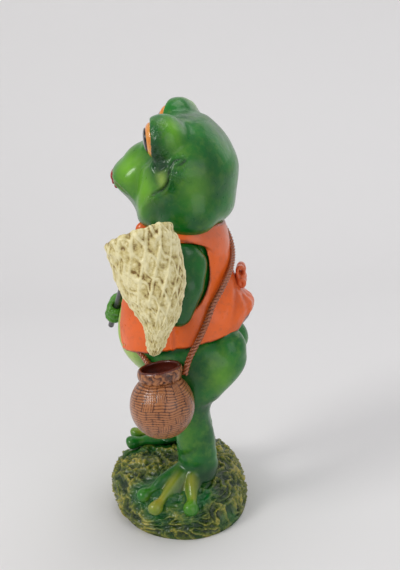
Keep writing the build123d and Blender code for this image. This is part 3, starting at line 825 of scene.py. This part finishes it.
for name, sign in (("left", 1), ("right", -1)):
    shoulder = ball((28.6 * sign, 15.0, 157.0), (17, 22, 23))
    palm = arrays(name + "_hand")
    limb = remesh(name + "_arm_skin", [arrays(name + "_arm"), palm, shoulder], pick(0.6))
    limb.soften(pick(8))
    limb.soften(pick(30), smoothstep(142, 150, limb.p[:, 2]))
    blank_marks(limb, SKIN_MARKS)
    near = smoothstep(15, 9, np.linalg.norm(limb.p - palm[0].mean(axis=0), axis=1))
    crumple(limb, near, 3.0, 0.32, 11 + sign)
    add_mark(limb, "crinkle", 0.8 * near)
    add_mark(limb, "shade", 0.45 * (1 - near))
    if sign < 0:
        add_mark(limb, "spray", 0.4 * near)
    limb.piece(name + "_arm_skin", (name + "_arm", name + "_hand", name + "_shoulder_pin"), "skin", SKIN)


# Vest and its bow

ORANGE = vest_paint()
COLLAR_LEVEL, COLLAR_SLOPE = 180.5, 0.19
HEM_LEVEL, HEM_SLOPE, HEM_LIFT = 108.0, 0.1405, 7.0
ARMHOLE_MIDDLE, ARMHOLE_HALF = (13.0, 149.5), (15.0, 19.5)
YOKE_START = 158
YOKE_THICKNESS = 2.6
YOKE_OPENING = math.radians(48)
# Level, middle y, half width and half depth of the yoke
YOKE = np.array(
    (
        (158, 12.5, 31.2, 26.2), (163, 13.0, 32.5, 25.6), (168, 13.6, 33.2, 24.2), (172, 14.2, 31.5, 22.6),
        (176, 14.8, 27.5, 20.6), (180, 15.0, 23.0, 18.4), (184, 15.0, 19.5, 16.6),
    )
)
FRONT_EDGE = (
    (17.3, -26.0, 108.5), (16.6, -26.2, 113.5), (16.2, -25.9, 119), (15.8, -25.0, 124), (15.3, -23.6, 129),
    (14.8, -22.0, 134), (14.4, -20.5, 138.5), (14.0, -18.8, 143), (13.4, -16.8, 149), (13.0, -14.6, 154),
)
EDGE_ROLL = 1.2
FOLDS = (
    ((1.5, 42.5, 137), (3.5, 47.0, 128), (4.5, 46.0, 119)),
    ((3.5, 41.5, 137), (11, 45.5, 128), (15, 43.5, 117.5)),
    ((5, 41, 139), (16, 41.5, 132), (25, 38, 120)),
)
PLEAT = ((36.9, 6.6, 122.5), (37.3, 6.5, 115.5), (37.6, 6.4, 108.2))
VEST_TAN = (((0, 44, 138), 9.0, (1.6, 1, 1.2), 0.55), ((0, 49, 126), 6.0, (1.5, 1, 0.8), 0.5))


def yoke(rows=16, columns=84):
    # Shoulders and collar: a closed sheet from the top of the armholes up to the neck, open at the front
    outer, inner = [], []
    for row in range(rows):
        for column in range(columns):
            turn = YOKE_OPENING / 2 - math.pi / 2 + (2 * math.pi - YOKE_OPENING) * column / (columns - 1)
            y_way = math.sin(turn)
            arch = math.sqrt(max(0.0, 1 - (24 * y_way / 17.0) ** 2))
            low = YOKE_START + 9.5 * arch if abs(math.cos(turn)) > 0.4 else YOKE_START
            high = COLLAR_LEVEL - COLLAR_SLOPE * (14 + 20 * y_way)
            level = low + (high - low) * row / (rows - 1)
            centre, width, depth = [np.interp(level, YOKE[:, 0], YOKE[:, k]) for k in (1, 2, 3)]
            for points, inset in ((outer, 0.0), (inner, YOKE_THICKNESS)):
                points.append(((width - inset) * math.cos(turn), centre + (depth - inset) * y_way, level))
    return closed_sheet(outer, inner, rows, columns)


vest_parts = [arrays("vest"), yoke()]
vest_parts += [ball((13.4 * sign, -8.2, 172.2), (5.6, 11, 11)) for sign in BOTH]
for sign in BOTH:
    vest_parts.append(tube(curve_through(flipped(FRONT_EDGE, sign) + (0, 0.9, 0), 4), EDGE_ROLL, 12))
panel = solid_tree("vest")
for sign in BOTH:
    for turn in np.radians(range(-60, -43, 2)):
        # The panel's wall is thin near its front edge, so it is backed there
        way = np.array((sign * math.cos(turn), math.sin(turn), 0))
        line = [cast(panel, np.array((0, 5, level)) + way * 60, -way) for level in range(110, 150, 3)]
        line = [place - way * EDGE_ROLL for place in line if place is not None]
        vest_parts.append(tube(line, EDGE_ROLL, 10))
vest = remesh("vest_cloth", vest_parts, pick(0.7))
vest.soften(pick(3))
blank_marks(vest, CLOTH_MARKS)
x, y, z = vest.p.T
vest.p[:, 2] += HEM_LIFT * smoothstep(41, 49, y) * smoothstep(134, 114, z)
vest.p[:, 1] += 1.7 * bell(np.linalg.norm((vest.p - (0, 48, 126)) * (0.55, 0.4, 1), axis=1), 10) * smoothstep(30, 42, y)
# Each fold is carved, and painted shade is laid along it
for sign in BOTH:
    for line in FOLDS:
        add_mark(vest, "fold_shade", 0.5 * carve(vest, flipped(line, sign), 0.55, 1.7, 0.45, 4.0))
# Painted shade along the raised pleat
add_mark(vest, "fold_shade", 0.25 * carve(vest, PLEAT, -0.9, 0.8, -0.3))
above_hem = z - (HEM_LEVEL + HEM_SLOPE * y + HEM_LIFT * smoothstep(41, 49, y))
rim = bell(above_hem - 1.2, 1.5) * smoothstep(6, 2, above_hem)
wave = noise_at(vest.p, 7.0, 21) * 0.35 + noise_at(vest.p, 2.4, 22) * 0.18
vest.push(rim * (0.35 + wave))
vest.p[:, 2] += smoothstep(5, 0, above_hem) * noise_at(vest.p, 9.0, 23) * 0.8
# Painted shade on the hem's lowest edge and the underside it turns to
add_mark(vest, "edge", smoothstep(1.6, 0.2, above_hem))
across_hole, up_hole = [(v - m) / h for v, m, h in zip((y, z), ARMHOLE_MIDDLE, ARMHOLE_HALF)]
hole_edge = np.abs(np.hypot(across_hole, up_hole) - 1) * 17
# Painted shade round the armholes and under the collar's edge
add_mark(vest, "edge", 0.8 * bell(hole_edge, 0.9) * smoothstep(18, 26, np.abs(x)))
add_mark(vest, "edge", 0.6 * smoothstep(1.6, 0.3, COLLAR_LEVEL - COLLAR_SLOPE * y - z))
add_mark(vest, "tan", 0.75 * smoothstep(155, 172, z) * smoothstep(12, 30, y))
add_mark(vest, "tan", spots(vest.p, VEST_TAN, flipped, 1))
vest.push(0.22 * noise_at(vest.p, 12.0, 24))
vest.piece("vest_cloth", ("vest",), "vest_orange", ORANGE)

# Level, width, height, lean and thickness of the bow's upper and lower loop, and how far back they stand
LOOPS = ((144.4, 1.9, 2.9, 0.8, 1.15, 44.0), (137.8, 1.5, 2.1, 0.6, 1.2, 44.4))


def loop_line(centre, width, height, lean, count=26):
    # Ribbon loop seen as a small ring from the side
    return [np.array(centre) + (lean * s, width * c, height * s) for c, s in circle(count)]


bow_parts = []
for sign in BOTH:
    for shift in (1.4, 3.0, 4.6):
        for level, width, height, lean, thickness, back in LOOPS:
            line = loop_line((sign * shift, back, level), width, height, sign * lean)
            bow_parts.append(closed_tube(line, thickness))
bow_parts.append(ball((0, 44.0, 141.0), (9.5, 6.8, 6.0)))  # knot
bow_parts.append(ball((0, 42.6, 141.0), (11, 4.0, 9.0)))
bow = remesh("bow_ribbon", bow_parts, pick(0.45))
bow.soften(4)
blank_marks(bow, CLOTH_MARKS)
add_mark(bow, "tan", 0.55)
lumps = noise_at(bow.p, 3.0, 31, 2)
bow.push(0.3 * lumps)
# Painted shade in the hollows between the bow's lumps
add_mark(bow, "fold_shade", 0.6 * smoothstep(0.0, -0.4, lumps))
bow.piece("bow_ribbon", ("vest_bow",), "vest_orange", ORANGE)


# Landing net: a cast bag with raised cords round lozenges, and a lumpy rim

# Each row: the left and the right edge as (y, z), the middle x and the half span in x
NET_ROWS = (
    (-1.9, 113.0, -0.1, 113.1, 56.9, 0.9),
    (-3.2, 115.0, 3.0, 115.5, 57.2, 3.0),
    (-4.0, 117.6, 5.4, 119.6, 57.6, 4.6),
    (-4.2, 121.6, 8.0, 125.0, 58.1, 6.2),
    (-4.6, 127.0, 10.8, 129.8, 58.8, 7.9),
    (-5.6, 132.0, 14.0, 135.4, 59.2, 9.5),
    (-8.4, 137.2, 16.2, 143.2, 59.6, 11.2),
    (-12.2, 143.4, 17.8, 150.2, 60.0, 12.4),
    (-15.4, 149.6, 18.2, 157.0, 60.0, 13.1),
    (-17.8, 156.2, 17.6, 164.6, 60.0, 13.5),
    (-19.2, 164.6, 16.2, 173.8, 60.0, 13.8),
    (-20.9, 171.9, 13.3, 181.9, 60.0, 14.0),
)
NET_WALL = 3.4
NET_FLOOR = 0.3  # how far up the bag its inside starts, as a share of its length
LEAST_SPAN = 0.3
CORDS_ROUND, CORDS_DOWN = 15, 5.9
MOUTH_ROLL, MOUTH_TILT = math.radians(15), math.radians(19)
MOUTH_OUT = np.array((math.cos(MOUTH_ROLL), 0, math.sin(MOUTH_ROLL)))
MOUTH_UP = np.cross(MOUTH_OUT, np.array((0, math.cos(MOUTH_TILT), math.sin(MOUTH_TILT))))


def net_wall(shares, columns, inset):
    # Rings of points at shares of the bag's length, set in from the outer wall
    rows = curve_through(NET_ROWS, 10)
    points = []
    for share in shares:
        place = share * (len(rows) - 1)
        index = min(int(place), len(rows) - 2)
        row = rows[index] * (1 - place + index) + rows[index + 1] * (place - index)
        centre = np.array((row[4], (row[0] + row[2]) / 2, (row[1] + row[3]) / 2))
        span = np.array((0, row[2] - row[0], row[3] - row[1])) / 2
        length = np.linalg.norm(span)
        lean = np.array((1, 0, 0)) * (1 - share ** 3) + MOUTH_OUT * share ** 3
        out = lean * max(row[5] - inset, LEAST_SPAN)
        along = span / length * max(length - inset, LEAST_SPAN)
        points += [centre + out * c + along * s for c, s in circle(columns)]
    return np.array(points)


def per_ring(values, columns):
    # One value for each ring, repeated for its points
    return np.repeat(np.concatenate([np.atleast_1d(v) for v in values]).astype(float), columns)


CREAM = wash_paint(
    "net_cream", ((118, 88, 30), (200, 184, 122), (232, 222, 174)), roughness=0.4, coat=0.4, grain=1.1, depth=0.22
)
rows, columns = pick((170, 288))
inner_rows = rows // 3
shares = np.linspace(0.0, 1.0, rows)
inner_shares = np.linspace(1.0, NET_FLOOR, inner_rows)
outer = net_wall(shares, columns, 0.0)
inner = net_wall(inner_shares, columns, NET_WALL)
over = over_rim(outer[-columns:], inner[:columns], MOUTH_UP * NET_WALL / 2, 10)
tip = outer[:columns].mean(axis=0) - (0, 0, 0.5)
floor_middle = inner[-columns:].mean(axis=0)
floor = floor_middle + (inner[-columns:] - floor_middle) * 0.1
net = capped_grid([tip + (outer[:columns] - tip) * 0.2, outer] + over + [inner, floor], columns)
turns = np.tile(np.arange(columns) / columns, len(net.p) // columns)
along = per_ring([0, shares, np.ones(len(over)), inner_shares, NET_FLOOR], columns)
wall = per_ring([0.5, np.ones(rows), np.full(len(over), 0.2), np.full(inner_rows + 1, 0.5)], columns)
warp = noise_at(net.p, 18.0, 41) * 0.34 + noise_at(net.p, 7.0, 42) * 0.3
down = along * CORDS_DOWN + warp
round_share = turns * CORDS_ROUND + warp * 0.8
first_cord = 1 - np.abs((round_share + down) % 1.0 - 0.5) * 2
second_cord = 1 - np.abs((round_share - down) % 1.0 - 0.5) * 2
nearest_cord = np.minimum(first_cord, second_cord)
cords = np.maximum(bell(first_cord, 0.22), 0.85 * bell(second_cord, 0.22))
knots = bell(first_cord, 0.3) * bell(second_cord, 0.3)
cell = smoothstep(0.2, 0.9, nearest_cord)
slant = ((round_share + down) % 1.0 - 0.5) * cell
rim_near = smoothstep(0.86, 0.97, along)
lumps = noise_at(net.p, 4.2, 43, 2)
fine = noise_at(net.p, 1.6, 44)
thick = 0.75 + 0.5 * noise_at(net.p, 5.0, 45)
relief = ((0.8 * cords + 0.5 * knots) * thick + 0.9 * slant + 0.12 * cell - 0.35) * wall * (1 - 0.6 * rim_near)
relief += 0.5 * lumps + 0.25 * fine + rim_near * (lumps + 0.45)
net.push(relief * smoothstep(-0.02, 0.06, along))
hollow = bell(nearest_cord - 0.36, 0.14)
stain = smoothstep(-0.35, 0.45, noise_at(net.p, 6.0, 46))
height = 0.6 + 0.26 * cords + 0.15 * knots + 0.3 * slant - 0.42 * hollow * stain + 0.4 * lumps + 0.2 * fine
net.marks = {"height": np.clip(height * (0.72 + 0.28 * wall), 0, 1)}
net.piece("net_cast", ("net_bag", "net_hoop"), "net_cream", CREAM)


# Fish basket: a woven pot with a lumpy rim, glossy red-brown inside

POT = (47.0, -0.2)
POT_BELLY_LEVEL, POT_BELLY_RADIUS, POT_NECK_RADIUS = 78.5, 17.75, 10.25
NECK_LEVEL = POT_BELLY_LEVEL + math.sqrt(POT_BELLY_RADIUS ** 2 - POT_NECK_RADIUS ** 2)
STRAND_WIDTH = 1.35
BLOCK_HEIGHT, BLOCKS_ROUND, BLOCK_STRANDS = 4.05, 17, 6.5
TWISTS_ROUND, TWIST_HEIGHT = 15, 7


def pot_rings(tree, levels, columns, outer):
    points = []
    for level in levels:
        middle = np.array((*POT, level))
        for c, s in circle(columns):
            way = np.array((c, s, 0))
            place = cast(tree, middle + way * 50, -way) if outer else cast(tree, middle, way)
            points.append(middle + way * 5 if place is None else place)
    return np.array(points)


def disc_in(ring, level, share):
    # A smaller copy of a ring, round the pot's axis
    return np.array([(*POT, level)]) + (ring - ring.mean(axis=0)) * share


BROWN = wash_paint(
    "basket_brown", ((52, 26, 14), (116, 66, 36), (168, 108, 64)),
    roughness=0.32, coat=0.6, grain=1.0, depth=0.12, tint=(88, 34, 22),
)
pot_tree = solid_tree("basket")
pot_levels = arrays("basket")[0][:, 2]
low, top = pot_levels.min(), pot_levels.max()
rows, columns = pick((128, 330))
inner_rows = rows // 2
outer = pot_rings(pot_tree, np.linspace(low + 0.15, top - 0.4, rows), columns, True)
inner = pot_rings(pot_tree, np.linspace(top - 0.4, low + 4.5, inner_rows), columns, False)
over = over_rim(outer[-columns:], inner[:columns], np.array((0, 0, 1.3)), 8)
bottom = disc_in(outer[:columns], low, 0.5)
bottom[:, 2] = low
pot = capped_grid([bottom, outer] + over + [inner, disc_in(inner[-columns:], low + 3.4, 0.5)], columns)
x, y, z = pot.p.T
turn = np.arctan2(y - POT[1], x - POT[0]) / (2 * math.pi)
outside = np.zeros(len(pot.p))
outside[: (rows + 1) * columns] = 1
warp = noise_at(pot.p, 9.0, 51) * 0.5
level = z + warp * 2.6
block_row = np.floor(level / BLOCK_HEIGHT)
shifted = turn * BLOCKS_ROUND + 2.0 * np.sin(block_row * 2.4) + 0.5 * warp
block = np.floor(shifted)
inside_block = (shifted - block) * BLOCK_STRANDS
lying = np.abs(np.sin(math.pi * level / STRAND_WIDTH))
upright = np.abs(np.sin(math.pi * inside_block / 1.3))
kind = np.array([noise.noise(Vector((b * 1.73, r * 2.31, 4.2))) for b, r in zip(block.tolist(), block_row.tolist())])
turned = smoothstep(0.22, 0.3, kind)
strands = lying * (1 - turned) + upright * turned
borders = bell(np.minimum(inside_block, BLOCK_STRANDS - inside_block), 0.5) * 0.45
weave = np.clip(strands ** 0.8 - borders, 0, 1)
rim_near = smoothstep(NECK_LEVEL - 0.6, NECK_LEVEL + 1.2, z)
lumps = noise_at(pot.p, 3.4, 52, 2)
twist = np.sin(2 * math.pi * (turn * TWISTS_ROUND + (z - NECK_LEVEL) / TWIST_HEIGHT + 0.7 * lumps)) * 0.5 + 0.5
worn = 0.6 + 0.4 * smoothstep(-0.4, 0.4, noise_at(pot.p, 8.0, 54))
relief = (weave - 0.6) * 1.05 * worn * (1 - rim_near) + rim_near * (0.9 * twist ** 0.7 + 0.7 * lumps + 0.1)
relief = outside * relief + (1 - outside) * 0.25 * lumps
pot.push(relief * smoothstep(low, low + 2.0, z))
fine = noise_at(pot.p, 1.3, 53)
# The pot is a little taller, and its rim a little smaller, than the cast one, and the rim rises to the back
rise = smoothstep(NECK_LEVEL - 2.0, NECK_LEVEL + 3.0, pot.p[:, 2])
pot.p[:, 2] += np.interp(z, (low, NECK_LEVEL - 6, NECK_LEVEL + 1, top + 2), (2.3, 3.0, 3.3, 1.5))
pot.p[:, 2] += rise * 0.09 * (y - POT[1])
pot.p[:, 0] = POT[0] + (x - POT[0]) * (1 - 0.12 * rise)
pot.p[:, 1] = POT[1] + (y - POT[1]) * (1 - 0.06 * rise)
height = (0.1 + 0.85 * weave) * (1 - rim_near) + rim_near * (0.32 + 0.5 * twist + 0.3 * lumps)
pot.marks = {
    "height": np.clip(outside * height + 0.08 * fine, 0, 1),
    "tint": np.clip((1 - outside) * 1.2 + 0.15 * rim_near * smoothstep(0.3, 0.0, twist), 0, 1),
}
pot.piece("basket_woven", ("basket",), "wicker", BROWN)


# Mound: mossy ridges over the cast form, flat below

MOUND_MIDDLE = np.array((1.5, 4.3, 0.6))
MOUND_LEAN = np.array((-5.0, -7.0, 0))
MOSS = wash_paint(
    "moss_green", ((16, 44, 8), (86, 100, 26), (176, 162, 66)),
    roughness=0.36, coat=0.4, grain=1.3, depth=0.2, tint=(8, 92, 34),
)
mound_tree = solid_tree("base_mound")
rings, columns = pick((120, 380))
points = []
for ring in range(rings):
    tilt = math.pi / 2 * (ring / (rings - 1)) * 0.985
    centre = MOUND_MIDDLE + MOUND_LEAN * math.sin(tilt)
    for c, s in circle(columns):
        way = unit(np.array((math.cos(tilt) * c * 1.2, math.cos(tilt) * s, math.sin(tilt) * 0.62)))
        place = cast(mound_tree, centre + way * 120, -way, 140)
        points.append(centre + way * 28 if place is None else place)
under = np.array(points[:columns]) * (1, 1, 0)
centre = under.mean(axis=0)
mound = capped_grid([centre + (under - centre) * 0.97, under, points], columns)
x, y, z = mound.p.T
bones = [toe_line(sign, tip) for sign, tips in TOES.items() for tip in tips]
feet = np.min([line_distance(mound.p, bone)[0] for bone in bones], axis=0)
flow = np.stack([noise_at(mound.p, 15.0, seed) for seed in (61, 62, 63)], axis=1)
lying = (mound.p + flow * 6.0) * (1.0, 1.0, 1.75)
ridges = 1 - np.abs(noise_at(lying, 6.2, 64)) * 3.2
small = 1 - np.abs(noise_at(lying, 3.0, 65)) * 3.0
clumps = noise_at(mound.p, 11.0, 66)
height = np.clip(0.62 * np.clip(ridges, 0, 1) + 0.3 * np.clip(small, 0, 1) + 0.22 * clumps, -0.2, 1.2)
flat = smoothstep(4.0, 7.0, feet) * 0.75 + 0.25
steady = smoothstep(0.0, 3.0, z)
mound.push((height * 2.9 - 1.6) * flat * (0.25 + 0.75 * steady) * (z > 0))
mound.p[: 2 * columns, 2] = 0
mound.p[:, 2] = np.maximum(mound.p[:, 2], 0)
pools = smoothstep(0.25, 0.7, noise_at(mound.p, 20.0, 67) + 0.25 * smoothstep(0, 30, x))
wet = np.clip(smoothstep(15, 5, feet) * 0.8 + 0.5 * pools, 0, 1)
behind = smoothstep(6, 22, y) * smoothstep(5, 22, x) * smoothstep(0.0, 0.3, clumps)
mound.marks = {"height": np.clip(0.1 + 0.75 * height, 0, 1), "tint": np.clip(wet * 0.8 + 0.4 * behind, 0, 1)}
mound.piece("mossy_mound", ("base_mound",), "moss", MOSS)


# Strap: three strands laid round each other along the cast cord

STRANDS, STRAND_PITCH, STRAND_OFFSET, STRAND_RADIUS = 3, 6.6, 0.9, 0.92
ROUTE = (
    (43.0, 12.8, 97.5), (41.0, 15.6, 105.5), (38.2, 21.8, 116.4), (36.4, 25.8, 124.4), (32.6, 29.2, 132.4),
    (25.0, 34.4, 140.4), (13.2, 38.8, 148.4), (0.0, 39.7, 156.4), (-10.0, 36.8, 165.2), (-17.6, 31.0, 171.6),
    (-23.0, 22.5, 174.4), (-26.6, 13.0, 173.2), (-25.7, 1.7, 168.4), (-20.4, -9.3, 162.0), (-10.5, -18.3, 155.6),
    (0.0, -22.6, 149.3), (9.8, -22.8, 143.0), (17.0, -20.0, 135.2), (21.4, -17.4, 126.2), (23.4, -16.2, 117.2),
    (25.2, -15.8, 107.6), (28.6, -12.2, 104.0), (33.6, -8.6, 100.6), (38.5, -7.0, 97.5),
)
STRAP = wash_paint(
    "strap_brown", ((26, 8, 4), (104, 42, 18), (156, 84, 44)), roughness=0.2, coat=0.9, grain=0.9, depth=0.06
)
path = curve_through(ROUTE, pick(40))
travelled = np.concatenate([[0], np.linalg.norm(np.diff(path, axis=0), axis=1)]).cumsum()
even = np.arange(0, travelled[-1], pick(0.4))
path = np.stack([np.interp(even, travelled, path[:, k]) for k in range(3)], axis=1)
ways = unit(np.gradient(path, axis=0))
first = unit(np.cross(ways, (0.2, 0.1, 1.0)))
second = np.cross(ways, first)
strands = []
for strand in range(STRANDS):
    turn = 2 * math.pi * (even / STRAND_PITCH + strand / STRANDS)[:, None]
    strands.append(tube(path + STRAND_OFFSET * (first * np.cos(turn) + second * np.sin(turn)), STRAND_RADIUS, 8))
strap = Skin(*join(strands))
tree = KDTree(len(path))
for index, place in enumerate(path):
    tree.insert(Vector(place), index)
tree.balance()
out = np.array([tree.find(Vector(q))[2] for q in strap.p])
strap.marks = {"height": smoothstep(0.9, 1.8, out)}
strap.piece("strap_rope", ("shoulder_strap",), "strap_brown", STRAP)


# Net pole keeps its cast form

GREY = plain_paint("pole_grey", ((34, 36, 36), (50, 52, 53), (74, 76, 78)), roughness=0.35, coat=0.6)
pole = NODES["net_pole"]
if not len(pole.material_slots):
    pole.data.materials.append(GREY)
for material_slot in pole.material_slots:
    material_slot.material = GREY


# Floor, light and camera

VIEW_WAY = Vector((-0.9673, -0.0932, -0.2361))
VIEW_RIGHT = Vector((-0.0819, 0.9950, -0.0572))
EYE_PLACE = Vector((448.3, 63.0, 245.8)) * MM
LIT_MIDDLE = Vector((0.01, 0.0, 0.12))


def area(name, place, size, power, colour):
    light = bpy.data.lights.new(name, "AREA")
    light.shape = "RECTANGLE"
    light.size = light.size_y = size
    light.energy = power
    light.color = colour
    lamp = bpy.data.objects.new(name, light)
    lamp.location = place
    lamp.rotation_euler = (LIT_MIDDLE - Vector(place)).to_track_quat("-Z", "Y").to_euler()
    bpy.context.scene.collection.objects.link(lamp)


def floor_material():
    material = bpy.data.materials.new("floor_pale")
    material.use_nodes = True
    shader = material.node_tree.nodes["Principled BSDF"]
    shader.inputs["Base Color"].default_value = (0.74, 0.73, 0.73, 1)
    shader.inputs["Roughness"].default_value = 0.7
    return material


def backdrop(front=-1.6, bend=0.5, radius=0.4, top=2.2, half_width=2.2, steps=12):
    # Floor that curves up into a wall, square to the camera's view
    way = Vector((VIEW_WAY.x, VIEW_WAY.y, 0)).normalized()
    side = Vector((-way.y, way.x, 0))
    profile = [(front, 0.0), (bend, 0.0)]
    for step in range(1, steps + 1):
        turn = math.pi / 2 * step / steps
        profile.append((bend + radius * math.sin(turn), radius - radius * math.cos(turn)))
    profile.append((bend + radius, top))
    points = []
    for ahead, rise in profile:
        for aside in (-half_width, half_width):
            points.append(tuple(way * ahead + side * aside + Vector((0, 0, rise))))
    faces = [(2 * i, 2 * i + 1, 2 * i + 3, 2 * i + 2) for i in range(len(profile) - 1)]
    made = make("pale_backdrop", np.array(points) / MM, faces)
    made.data.materials.append(floor_material())


backdrop()
area("key_window", (0.75, -0.95, 0.85), 0.5, 8.5, (1, 0.99, 0.97))
area("fill_wall", (0.95, 0.9, 0.5), 1.1, 4.0, (0.97, 0.98, 1))
area("top_light", (-0.1, 0.1, 1.3), 0.8, 3.9, (1, 1, 1))
area("back_light", (-0.7, 0.6, 0.7), 0.7, 1.2, (1, 1, 1))

world = bpy.data.worlds.new("room")
world.use_nodes = True
world.node_tree.nodes["Background"].inputs["Color"].default_value = (0.86, 0.86, 0.88, 1)
world.node_tree.nodes["Background"].inputs["Strength"].default_value = 0.53
bpy.context.scene.world = world
bpy.context.scene.view_settings.view_transform = "Standard"

camera_data = bpy.data.cameras.new("camera")
camera_data.sensor_fit = "VERTICAL"
camera_data.sensor_height = 36.0
camera_data.lens = 50.09
camera = bpy.data.objects.new("camera", camera_data)
ahead = VIEW_WAY.normalized()
up = VIEW_RIGHT.normalized().cross(ahead).normalized()
right = ahead.cross(up).normalized()
turn = Matrix((right, up, -ahead)).transposed()
camera.matrix_world = Matrix.Translation(EYE_PLACE) @ turn.to_4x4()
bpy.context.scene.collection.objects.link(camera)
bpy.context.scene.camera = camera
